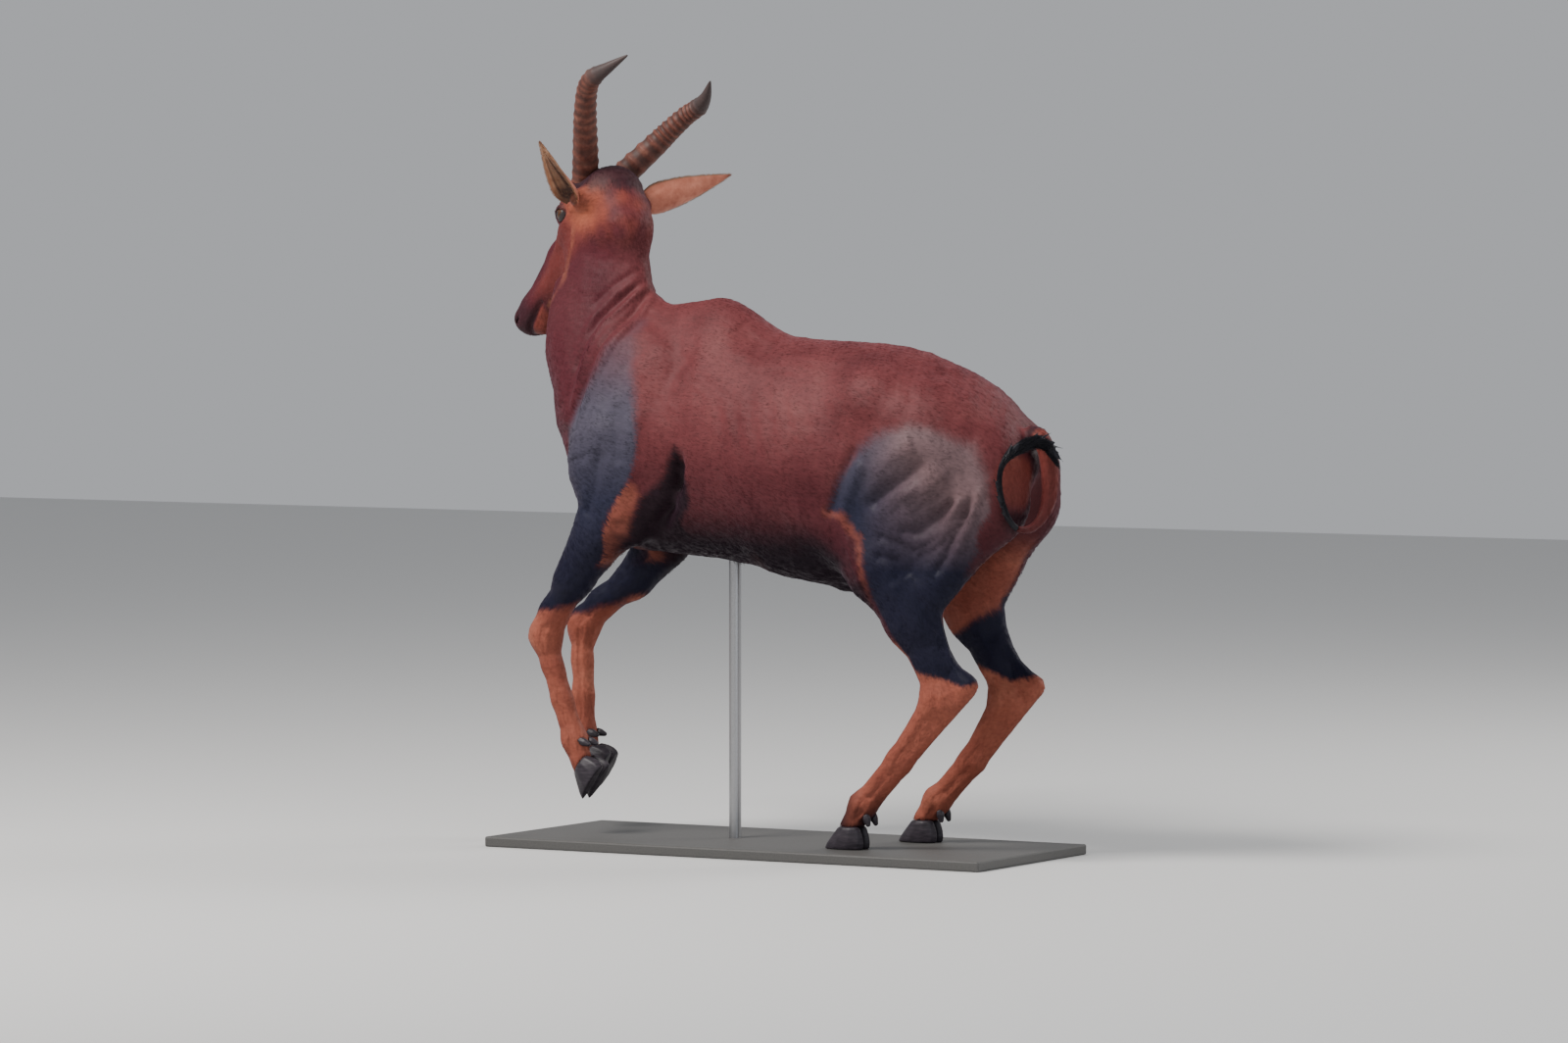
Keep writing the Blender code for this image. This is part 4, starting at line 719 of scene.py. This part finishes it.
def hoof_material():
    look = Shader("hoof_keratin", 0.46, 0.35)
    bands = look.noise(90, 4, 0.6, look.stretch((0.4, 0.4, 2.4)))
    colour = look.ramp(bands, (0.3, 0.012, 0.009, 0.013), (0.6, 0.03, 0.023, 0.031),
                         (0.85, 0.066, 0.052, 0.06))
    return look.finish(colour, bands, 0.5, 0.0012)


def ear_material():
    look = Shader("ear_skin", 0.55, 0.2, Sheen_Weight=0.12, Sheen_Roughness=0.5,
                    Sheen_Tint=(1, 0.85, 0.75, 1), Subsurface_Weight=0.06,
                    Subsurface_Radius=(0.008, 0.003, 0.002), Subsurface_Scale=1)
    cup, dark, rim = look.marks("ear_mask")
    cloud = look.noise(45, 4)
    back = look.ramp(cloud, (0.3, 0.42, 0.125, 0.078), (0.7, 0.64, 0.24, 0.155))
    inside = look.ramp(cloud, (0.3, 0.33, 0.15, 0.08), (0.7, 0.52, 0.3, 0.18))
    colour = look.mix(rim, look.mix(cup, back, inside), (0.43, 0.2, 0.11))
    # The cup's dark lines together with painted shade in its depth and middle
    colour = look.mix(dark, colour, (0.03, 0.011, 0.01))
    return look.finish(colour, look.noise(700, 3, 0.6), 0.4, 0.001)


def eye_material():
    look = Shader("eye_wet", 0.14, 0.4, Coat_Weight=0.25, Coat_Roughness=0.04)
    pupil, white, _ = look.marks("eye_mask")
    iris = look.ramp(look.noise(260, 4), (0.3, 0.03, 0.012, 0.006), (0.7, 0.085, 0.034, 0.014))
    colour = look.mix(white, look.mix(pupil, iris, (0.003, 0.003, 0.004)), (0.12, 0.07, 0.055))
    return look.finish(colour)


def hair_material(name, dark, light, rough=0.45):
    look = Shader(name, rough, 0.22)
    return look.finish(look.ramp(look.noise(420, 3, 0.6), (0.3, *dark), (0.75, *light)))


def plain_material(name, colour, rough, metallic=0, grain=300, depth=0.0003):
    look = Shader(name, rough, Metallic=metallic)
    cloud = look.noise(grain, 5, 0.6)
    stops = [(at, *(min(1, c * share) for c in colour)) for at, share in ((0.35, 0.82), (0.65, 1.14))]
    return look.finish(look.ramp(cloud, *stops), cloud, 0.25, depth)


COAT = coat_material()
HORN = horn_material()
HOOF = hoof_material()
EAR = ear_material()
EYE = eye_material()
LIDS = plain_material("eyelid_skin", (0.02, 0.012, 0.012), 0.42, 0, 500, 0.0002)
EAR_HAIR = hair_material("ear_hair", (0.26, 0.11, 0.055), (0.56, 0.34, 0.21), 0.6)
TAIL_BLACK = hair_material("tail_black", (0.003, 0.003, 0.005), (0.012, 0.011, 0.017))
STAND_BASE = plain_material("stand_base_finish", (0.075, 0.073, 0.07), 0.55)
STAND_ROD = plain_material("stand_rod_steel", (0.42, 0.42, 0.43), 0.3, 1, 600, 0.0001)
FLOOR = Shader("studio_floor", 0.75, 0.3, Base_Color=(0.6, 0.6, 0.595, 1)).material


# Skin, horns, eyes and ears

def make_skin():
    skin = remeshed("skin", FLESH, SKIN_VOXEL)
    mesh = skin.data
    pts, edges = points_of(mesh), edges_of(mesh)
    x, _, z = pts.T.copy()
    fore, _, rise = in_head(pts).T
    on_head = fades(-0.1, 0, fore, -0.24, -0.18, rise, 1.16, 1.2, z)
    limb = fade(0.66, 0.54, z)
    weight = (1 - 0.9 * on_head) * (1 - 0.72 * limb) * (1 - 0.8 * fade(0.66, 0.69, x))
    relax(pts, edges, SMOOTH_ROUNDS, weight)
    set_points(mesh, pts)
    normals = normals_of(mesh)
    push = side_forms(pts, normals) * (1 + 0.35 * fade(0.25, 0.35, pts[:, 0]))
    push += rib_forms(pts, normals) + thigh_folds(pts, normals)
    push += fine_wrinkles(pts) * (1 - on_head * 0.8) * (1 - 0.7 * limb)
    push += leg_grooves(pts, normals) + brows(pts) * on_head
    push -= COAT_DEPTH * (1 - on_head) * (1 - 0.5 * limb)
    pts += normals * push[:, None]
    relax(pts, edges, 1, pull=0.4)
    set_points(mesh, pts)
    paint(mesh, markings(pts, normals_of(mesh)))
    dress(skin, COAT)
    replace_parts(skin, *FLESH)
    return skin


def refined(name, node, voxel, rounds, material, grow):
    """A finer, rounder copy of a CAD node."""
    piece = remeshed(name, [node], voxel)
    mesh = piece.data
    pts = points_of(mesh)
    relax(pts, edges_of(mesh), rounds)
    set_points(mesh, pts)
    set_points(mesh, pts + normals_of(mesh) * grow)
    dress(piece, material)
    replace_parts(piece, node)


def make_horn(node, stops, ringed_at, seed):
    """A horn swept along its curve, ringed most on one side, with a smooth dark tip."""
    count, sides, rings = 420, 56, 17
    taper_at, least = 0.72, 0.0004
    places = curve_through(stops, count)
    offsets = np.random.default_rng(seed).uniform(-0.12, 0.12, rings + 1)
    pts, mask = [], []
    side_line = Vector((0.3, 0.9, 0.2))
    for i, place in enumerate(places):
        t = i / (count - 1)
        ahead = (places[min(i + 1, count - 1)] - places[max(i - 1, 0)]).normalized()
        across = (side_line - ahead * side_line.dot(ahead)).normalized()
        up = ahead.cross(across).normalized()
        radius = 0.035 - 0.0135 * (t / taper_at) ** 0.8
        if t > taper_at:
            radius = 0.0215 * (1 - (t - taper_at) / 0.28) ** 0.85 + 0.0016
        radius = least if i == count - 1 else radius * 1.02
        ringed = (1 - fade(0.7, 0.84, t)) * fade(0.02, 0.07, t)
        step = t ** 0.92 * rings / 0.8
        phase = step - int(step) + offsets[min(int(step), rings)] * 0.4
        saw = max(0, 1 - abs(phase - 0.62) / 0.4) ** 1.3
        tip = fade(0.66, 0.8, t) * 0.9
        for k in range(sides):
            a = 2 * pi * k / sides
            front = 0.6 + 0.4 * cos(a - ringed_at)
            wave = 0.00035 * sin(7 * a + 9 * t) + 0.0002 * sin(17 * a + 31 * t)
            lift = (0.004 * saw - 0.001) * ringed * front * (1 - 0.3 * t)
            r = max(radius + lift + wave * (1 - t), least)
            pts.append(place + across * cos(a) * r + up * sin(a) * r * 0.92)
            # Mask: painted shade in the grooves between the rings, and the dark tip
            mask.append((ringed * (1 - saw) ** 2 * (0.4 + 0.35 * front), tip, 0))
    faces = swept_faces(count, sides)
    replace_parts(closed_piece(node + "_ringed", pts, faces, HORN, ("horn_mask", mask)), node)


def make_eye(node, side):
    """A wet eyeball with a dark iris and a long, level pupil."""
    centre, out, level, rise = eye_axes(side, 0.28, 0.08)
    around, down = 72, 48
    pupil_wide, pupil_high = 0.44, 0.17
    pts, mask = [], []
    for i in range(down + 1):
        polar = pi * i / down
        bulge = 0.0012 * fade(0.75, 0.35, polar)
        white = 0.6 * fade(1.3, 1.5, polar)
        for k in range(around):
            a = 2 * pi * k / around
            ray = out * cos(polar) + level * sin(polar) * cos(a) + rise * sin(polar) * sin(a)
            pts.append(centre + ray * (EYE_RADIUS + bulge - 0.0006))
            wide = sin(polar) * cos(a) / pupil_wide
            high = sin(polar) * sin(a) / pupil_high
            mask.append((float(polar < 1.2 and hypot(wide, high) < 1), white, 0))
    faces = swept_faces(down + 1, around)[:, (0, 3, 2, 1)]
    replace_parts(closed_piece(node + "_wet", pts, faces, EYE, ("eye_mask", mask), weld=True), node)


LID_PROFILE = [
    # share of the way from the eye's opening to the skin, height over the eyeball
    (0, -0.0012), (0, 0.0006), (0.03, 0.0019), (0.1, 0.0026), (0.25, 0.0023),
    (0.55, 0.0016), (1, 0.0004), (1, -0.0014), (0.5, -0.0014),
]


def make_lids(side):
    """Both eyelids as one shell over the eyeball, open in the middle, the upper lid heavier."""
    centre, out, level, rise = eye_axes(side, 0.22, 0.05)
    if rise.dot(CROWN) < 0:
        rise = -rise
    turns = 96
    pts = []
    for i in range(turns):
        a = 2 * pi * i / turns
        half_height, heavy = (0.012, 1.25) if sin(a) > 0 else (0.0102, 0.9)
        wide, high = 0.0168 * cos(a), half_height * sin(a)
        opening = asin(hypot(wide, high) / EYE_RADIUS)
        turn = atan2(high, wide)
        for share, lift in LID_PROFILE:
            polar = opening + (radians(94) - opening) * share
            ray = out * cos(polar) + (level * cos(turn) + rise * sin(turn)) * sin(polar)
            pts.append(centre + ray * (EYE_RADIUS + lift * heavy))
    name = "lids_left" if side > 0 else "lids_right"
    closed_piece(name, pts, swept_faces(turns, len(LID_PROFILE), closed=True), LIDS)


def make_ear(node, root, tip, open_to, wide):
    """A cupped ear: orange-brown back, cream cup with dark lines and painted shade inside, pale rim."""
    foot, length, axis, mouth = ear_axes(root, tip, open_to)
    across = axis.cross(mouth).normalized()
    axis, mouth, across, foot = (np.array(v) for v in (axis, mouth, across, foot))
    rows, columns = 120, 64
    widest = 0.22
    t = np.linspace(0, 1, rows)[:, None]
    spread = np.where(t < widest, 0.56 + 0.44 * np.sin(pi * np.minimum(1, t / 0.44)),
                      1 - np.clip((t - widest) / 0.78, 0, 1) ** 1.9 * 0.97)
    half = wide * spread
    curl = np.radians(205 - 110 * t)
    depth = half * (0.95 - 0.45 * t)
    u = np.linspace(0, 1, columns)[None, :]
    edge = np.sin(pi * u) ** 0.6
    layers = []
    for inner, v in ((0, u), (1, u[:, ::-1])):
        turn = (v - 0.5) * curl
        thick = inner * (0.0008 + (0.004 - 0.0022 * t) * edge)
        ridges = inner * 0.0007 * np.cos(v * 2 * pi * 5) * edge
        ridges = ridges * fades(0.1, 0.3, t, 0.95, 0.7, t)
        bend = 0.0014 * np.sin(9 * t + 3 * v) * edge
        x = np.sin(turn) * (half - thick * 0.6)
        y = -np.cos(turn) * (depth - thick) + depth * 0.45 + ridges + bend * (1 - inner * 0.2)
        line = foot + axis * (length * t)[..., None] + mouth * (0.006 * np.sin(pi * t))[..., None]
        layers.append(line + across * x[..., None] + mouth * y[..., None])
    grid = np.concatenate(layers, axis=1)
    around = columns * 2
    outer = np.arange((rows - 1) * around, (rows - 1) * around + columns)
    inner = outer[::-1] + columns
    tip_faces = np.stack([outer[:-1], outer[1:], inner[1:], inner[:-1]], axis=-1)
    faces = np.concatenate([swept_faces(rows, around), tip_faces])

    # Colours: the cup, its dark lines, painted shade low in the cup and down its middle, its pale rim
    share = np.concatenate([u, u[:, ::-1]], axis=1) * np.ones((rows, 1))
    height = t * np.ones((1, around))
    cup = (np.arange(around) >= columns) * np.ones((rows, 1))
    lines = np.clip(np.cos((share - 0.5) * 2 * pi * 3.4 + 0.5) * 1.6 - 0.5, 0, 1) * cup
    lines *= window(height, 0.06, 0.25, 0.62, 0.86)
    # Painted shade low in the cup near its root and down its middle
    cup_depth_shade = cup * fade(0.3, 0.05, height)
    middle = cup * fades(0.4, 0.18, np.abs(share - 0.5), 0.02, 0.12, height, 0.92, 0.6, height)
    rim = fades(0.085, 0.02, np.minimum(share, 1 - share), 0.02, 0.12, height)
    dark = lines * 0.55 + middle * 0.55 + cup_depth_shade * 0.8 + 0.7 * fade(0.9, 0.99, height)
    mask = np.stack([cup, np.clip(dark, 0, 0.95), rim], axis=-1).reshape(-1, 3)
    ear = closed_piece(node + "_cup", grid.reshape(-1, 3), faces, EAR, ("ear_mask", mask))
    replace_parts(ear, node)
    return grid, axis, mouth


# The coat: short flat tufts over the skin, longer hair at the ears, tail, hooves and sheath

def lie_of_coat(pts, normals):
    """The way the hair points along the skin."""
    x, _, z = pts.T
    ones = np.ones(len(pts))
    drop = 0.28 + 0.5 * fade(0.95, 0.65, z) + 0.9 * fade(0.48, 0.7, x)
    way = np.stack([ones, 0 * ones, -drop], axis=1)

    def turn_to(line, share):
        way[:] += share[:, None] * (line - way)

    turn_to(np.array([0.25, -0.1, -1]), fades(1.06, 1.28, z, -0.28, -0.4, x))
    fore, _, rise = in_head(pts).T
    on_head = fades(-0.05, 0.04, fore, -0.22, -0.16, rise, 1.14, 1.2, z)
    turn_to(np.array(CROWN * 0.15 - FORE), on_head)
    for joints in LEG_PATHS:
        gap, along, _, line = follow_path(pts, joints)
        turn_to(line, fades(0.11, 0.06, gap, 0, 0.15, along, 0.8, 0.6, z))
    gap, _, _, line = follow_path(pts, TAIL[:8])
    turn_to(line, fades(0.045, 0.025, gap, 0.64, 0.68, x))
    for k in range(3):
        way[:, k] += 0.16 * ripple(pts, 0.07, 20 + k)
    way -= normals * np.einsum("ij,ij->i", way, normals)[:, None]
    return unit(way)


def hair_size(pts):
    """Length and width of a tuft at each place."""
    z = pts[:, 2]
    fore = in_head(pts)[:, 0]
    on_head = fades(-0.06, 0.06, fore, 1.14, 1.2, z)
    on_face = on_head * fade(0.1, 0.3, fore)
    on_leg = fade(0.62, 0.48, z)
    length = 0.013 - 0.005 * on_head - 0.004 * on_face - 0.0055 * on_leg
    width = 0.0024 - 0.0009 * on_head - 0.0006 * on_face - 0.001 * on_leg
    for joints in LEG_PATHS:
        length += 0.005 * fade(0.045, 0.02, gap_to(pts, joints[-1]))
    length += 0.003 * fades(0.72, 0.66, z, 0.62, 0.66, z)
    return length, width


def turned_about(centre, ahead, pts):
    """Angle of points round a line, 0 to 1."""
    ahead = unit(np.asarray(ahead, dtype=float))
    side = unit(np.cross(ahead, [0, 1, 0]))
    other = np.cross(ahead, side)
    rel = pts - centre
    a = np.arctan2((rel * other).sum(axis=-1), (rel * side).sum(axis=-1))
    return (a / (2 * pi)) % 1


def unwrap(pts):
    """Places on a chart of the body: trunk, neck, head, four legs and tail, each cut like a tube."""
    x, y, z = pts.T
    chart = np.empty((len(pts), 2))

    def lay(where, left, wide, along, low, high, angle):
        chart[where, 0] = (left + wide * along)[where]
        chart[where, 1] = (low + high * angle)[where]

    trunk = turned_about(np.array([0, 0, 0.95]), (1, 0, 0), pts)
    lay(slice(None), 0.02, 0.96, np.clip((x + 0.6) / 1.36, 0, 1), 0.52, 0.46, trunk)
    _, along, place, way = follow_path(pts, NECK_LINE)
    neck = z > 1.14 - 0.9 * (x + 0.4)
    lay(neck, 0.02, 0.44, along, 0.27, 0.22, turned_about(place, way, pts))
    fore, side, rise = in_head(pts).T
    head = (fore > -0.07) & (z > 1.14) & (rise > -0.24)
    angle = (np.arctan2(side, rise + 0.06) / (2 * pi)) % 1
    lay(head, 0.5, 0.48, np.clip((fore + 0.1) / 0.62, 0, 1), 0.27, 0.22, angle)
    for i, joints in enumerate(LEG_PATHS):
        gap, along, place, way = follow_path(pts, joints)
        own_side = (y * joints[0][1] > 0) & (np.sign(x) == np.sign(joints[0][0]))
        leg = (gap < 0.13) & (z < 0.66) & own_side
        lay(leg, 0.02 + 0.2 * i, 0.18, along, 0.02, 0.22, turned_about(place, way, pts))
    gap, along, place, way = follow_path(pts, TAIL)
    tail = (gap < 0.035) & (x > 0.66)
    lay(tail, 0.84, 0.14, along, 0.02, 0.22, turned_about(place, way, pts))
    return chart


def hair_object(name, pts, faces, chart, normals, material, masks=None, shade=1):
    """A coat piece: its mesh, its OFBake patches, its markings and the skin's own shading."""
    piece = mesh_object(name, pts, faces)
    mesh = piece.data
    dress(piece, material)
    if masks is not None:
        paint(mesh, masks, shade)
    layer = mesh.uv_layers.new(name="OFBake")
    layer.data.foreach_set("uv", chart[faces.ravel()].astype(np.float32).ravel())
    mesh.normals_split_custom_set_from_vertices(normals.astype(np.float32))


def patches(roots, per_tuft):
    """Each tuft's corners set on a small patch at its root's place."""
    spread = np.array([(-0.0014, -0.0014), (0.0014, -0.0014), (0, 0.0014), (0, 0), (0.0008, 0.0008)])
    chart = unwrap(roots)[:, None, :] + spread[np.arange(per_tuft) % len(spread)]
    return np.clip(chart, 0.001, 0.999).reshape(-1, 2)


def roots_on(mesh, wanted):
    """Random places over a mesh, more where tufts are small, and the way each faces."""
    mesh.calc_loop_triangles()
    corners = rows_of(mesh.loop_triangles, "vertices", 3, np.int32)
    pts, normals = points_of(mesh), normals_of(mesh)
    a, b, c = (pts[corners[:, k]] for k in range(3))
    area = 0.5 * np.linalg.norm(np.cross(b - a, c - a), axis=1)
    length, width = hair_size((a + b + c) / 3)
    total = np.cumsum(area / (length * width))
    picks = np.sort(rng.uniform(0, total[-1], wanted))
    chosen = np.searchsorted(total, picks)
    u, v = rng.uniform(size=wanted), rng.uniform(size=wanted)
    flip = u + v > 1
    u[flip], v[flip] = 1 - u[flip], 1 - v[flip]
    parts = [(share[:, None], corners[chosen, k]) for k, share in enumerate((1 - u - v, u, v))]
    place = sum(share * pts[at] for share, at in parts)
    return place, unit(sum(share * normals[at] for share, at in parts))


def short_coat(mesh, wanted, per_piece):
    """Flat tapered tufts that lie along the body, each a closed solid of four faces."""
    place, facing = roots_on(mesh, wanted)
    way = lie_of_coat(place, facing)
    across = np.cross(facing, way)
    length, width = hair_size(place)
    length = length * rng.uniform(0.75, 1.25, wanted)
    width = width * rng.uniform(0.8, 1.2, wanted)
    bend = rng.normal(0, 0.1, wanted)
    rise = rng.uniform(0.03, 0.08, wanted)
    aside = across * (width * 0.5)[:, None]
    length = length[:, None]
    ridge = place + facing * 0.0005 + way * (length * 0.15)
    tip = place + way * length + across * (length * bend[:, None]) + facing * (length * rise[:, None])
    corners = [place - aside - facing * 0.0006, place + aside - facing * 0.0006, ridge, tip]
    corners = np.stack(corners, axis=1).reshape(-1, 3)
    tilts = [facing - across * 0.3, facing + across * 0.3, facing, facing + way * 0.15]
    normals = unit(np.stack(tilts, axis=1).reshape(-1, 3))
    masks = np.repeat(markings(place, facing), 4, axis=0)
    shade = np.repeat(np.clip(rng.normal(1, 0.09, wanted), 0.72, 1.3), 4)
    chart = patches(place, 4)
    shape = np.array([(0, 3, 2), (2, 3, 1), (1, 3, 0), (0, 2, 1)])
    slices = 997
    region = np.clip(((place[:, 0] + 0.82) / 1.6 * slices).astype(int), 0, slices - 1)
    order = np.argsort(region, kind="stable")
    for k, start in enumerate(range(0, wanted, per_piece)):
        chosen = order[start:start + per_piece]
        pick = (chosen[:, None] * 4 + np.arange(4)).ravel()
        faces = (np.arange(len(chosen))[:, None, None] * 4 + shape[None]).reshape(-1, 3)
        hair_object(f"coat_short_{k + 1}", corners[pick], faces, chart[pick], normals[pick], COAT,
                    masks[pick], shade[pick])


def strands(name, lines, widths, material):
    """Thin three-sided hairs along lines of points: n hairs x steps x 3."""
    count, steps, _ = lines.shape
    ahead = unit(np.gradient(lines, axis=1))
    side = unit(np.cross(ahead, rng.normal(size=(count, 1, 3))))
    other = np.cross(ahead, side)
    taper = [0.8, 1, 0.9, 0.65, 0.4, 0.05]
    taper = np.interp(np.linspace(0, 1, steps), np.linspace(0, 1, len(taper)), taper)
    reach = (widths[:, None] * taper[None, :])[..., None]
    rays = [side * cos(a) + other * sin(a) * 0.6 for a in (2 * pi * k / 3 for k in range(3))]
    pts = np.stack([lines + ray * reach for ray in rays], axis=2).reshape(-1, 3)
    normals = unit(np.stack(rays, axis=2).reshape(-1, 3))
    quads = swept_faces(steps, 3)
    last = (steps - 1) * 3
    ends = [(2, 1, 0), (last, last + 1, last + 2)]
    shape = np.concatenate([quads[:, (0, 1, 2, 0, 2, 3)].reshape(-1, 3), ends])
    faces = (np.arange(count)[:, None, None] * (steps * 3) + shape[None]).reshape(-1, 3)
    hair_object(name, pts, faces, patches(lines[:, 0], steps * 3), normals, material)


def tail_hair(count):
    """Long black hair that runs along the tail's ring and spreads at its end."""
    pieces, steps = 160, 6
    path = np.array(curve_through(TAIL, pieces + 1))
    radii = np.interp(np.linspace(0, 1, pieces + 1), np.linspace(0, 1, len(TAIL_RADII)), TAIL_RADII)
    ahead = unit(np.gradient(path, axis=0))
    up = unit(np.cross(ahead, [1, 0.25, 0.1]))
    out = np.cross(up, ahead)
    start = 72 + rng.beta(1.4, 1, count) * 84
    angle = rng.uniform(0, 2 * pi, count)
    thick = fade(100, 125, start)
    reach = (8 + 8 * thick) * rng.uniform(0.5, 1.5, count)
    spread = (0.0016 + 0.0085 * thick) * rng.uniform(0.5, 1.3, count)
    lines = np.empty((count, steps, 3))
    for j in range(steps):
        t = j / (steps - 1)
        at = start + reach * t
        inside = np.clip(at, 0, pieces)
        over = (at - inside) * np.linalg.norm(path[-1] - path[-2])
        low = np.minimum(inside.astype(int), pieces - 1)
        f = (inside - low)[:, None]
        spot = path[low] * (1 - f) + path[low + 1] * f + ahead[-1] * over[:, None]
        narrow = 1 - 0.85 * np.clip((at - 150) / 30, 0, 1)
        around = (angle + 0.25 * t)[:, None]
        ray = up[low] * np.cos(around) + out[low] * np.sin(around)
        body = np.interp(inside, np.arange(pieces + 1), radii) * (0.62 + 0.2 * thick)
        lines[:, j] = spot + ray * ((body + spread * t ** 1.3) * narrow)[:, None]
    strands("tail_hair", lines, rng.uniform(0.0006, 0.0011, count), TAIL_BLACK)


def ear_fringe(node, grid, axis, mouth, count):
    """Short hair along the ear's rims and in the mouth of its cup."""
    rows, around, _ = grid.shape
    half = around // 2
    rim = rng.uniform(size=count) < 0.8
    row = (rng.uniform(0.06, 0.985, count) * (rows - 1)).astype(int)
    first = rng.uniform(size=count) < 0.5
    on_rim = np.where(first, rng.integers(0, 3, count), rng.integers(half - 3, half, count))
    column = np.where(rim, on_rim, rng.integers(half + 3, around - 3, count))
    root = grid[row, column]
    away = unit(root - grid[row].mean(axis=1))
    lean = np.where(rim[:, None], away * 0.55 + axis * 0.9 + mouth * 0.15,
                    axis * 0.8 + mouth * 0.25 - away * 0.15)
    lean = unit(lean + rng.normal(0, 0.12, (count, 3)))
    height = row / (rows - 1)
    length = np.where(rim, 0.0075, 0.011) * rng.uniform(0.6, 1.2, count) * (1 - 0.45 * height)
    last, width = 3, 0.00035
    lines = [root + lean * (length * j / last)[:, None] + axis * (length * 0.15 * (j / last) ** 2)[:, None]
             for j in range(last + 1)]
    strands(node + "_fringe", np.stack(lines, axis=1), np.full(count, width), EAR_HAIR)


skin = make_skin()
make_horn("horn_left", HORN_LEFT, 0.6, 5)
make_horn("horn_right", HORN_RIGHT, 2.5, 6)
for node, side in (("eye_left", 1), ("eye_right", -1)):
    make_eye(node, side)
    make_lids(side)
ears = {node: make_ear(node, *shape) for node, shape in EARS.items()}
for leg in LEGS:
    for half in ("l", "r"):
        for kind, voxel in (("hoof", HOOF_VOXEL), ("dewclaw", DEWCLAW_VOXEL)):
            node = f"{kind}_{leg}_{half}"
            refined(node + "_worn", node, voxel, 12, HOOF, 0.0005)
for node, thinner in (("tail_middle", 0.0018), ("tail_tip", 0.0008)):
    refined(node + "_core", node, TAIL_VOXEL, 4, TAIL_BLACK, -thinner)
for node, finish in (("stand_base", STAND_BASE), ("stand_rod", STAND_ROD)):
    NODES[node].data.materials.clear()
    NODES[node].data.materials.append(finish)

short_coat(skin.data, TUFTS, TUFTS_PER_PIECE)
tail_hair(TAIL_HAIRS)
for node, shape in ears.items():
    ear_fringe(node, *shape, FRINGE_HAIRS)


# Room, lights and camera

def aimed(name, data, place, aim):
    """A lamp or camera at its place, looking along a direction."""
    thing = new_object(name, data)
    thing.location = place
    thing.rotation_euler = aim.to_track_quat("-Z", "Y").to_euler()
    return thing


half = 14
corners = [(-half, -half, 0), (half, -half, 0), (half, half, 0), (-half, half, 0)]
floor = mesh_object("studio_ground", corners, [(0, 1, 2, 3)])
floor.data.materials.append(FLOOR)
target = Vector((0, 0, 0.7335)) + LIFT
azimuth, elevation, distance = radians(30), radians(2.73), 18
away = Vector((sin(azimuth) * cos(elevation), -cos(azimuth) * cos(elevation), sin(elevation)))
data = bpy.data.cameras.new("camera")
data.lens, data.sensor_width, data.clip_end = 180, 36, 200
bpy.context.scene.camera = aimed("camera", data, target + away * distance, -away)
for name, place, height, size, power, colour in (
        ("key", (-2, -3.8, 5.7), 0.9, 2.8, 620, (1, 0.96, 0.92)),
        ("fill", (5, -4, 2.2), 0.8, 4, 60, (0.84, 0.92, 1)),
        ("rim", (3.4, 4.2, 4), 1, 3, 220, (1, 0.98, 0.95))):
    data = bpy.data.lights.new(name, "AREA")
    data.shape = "RECTANGLE"
    data.size, data.size_y = size, size * 0.7
    data.energy, data.color = power, colour
    aimed(name, data, place, Vector((0, 0, height)) - Vector(place))
world = bpy.data.worlds.new("studio")
world.use_nodes = True
sky = world.node_tree.nodes["Background"].inputs
sky[0].default_value = (0.86, 0.88, 0.92, 1)
sky[1].default_value = 0.5
bpy.context.scene.world = world
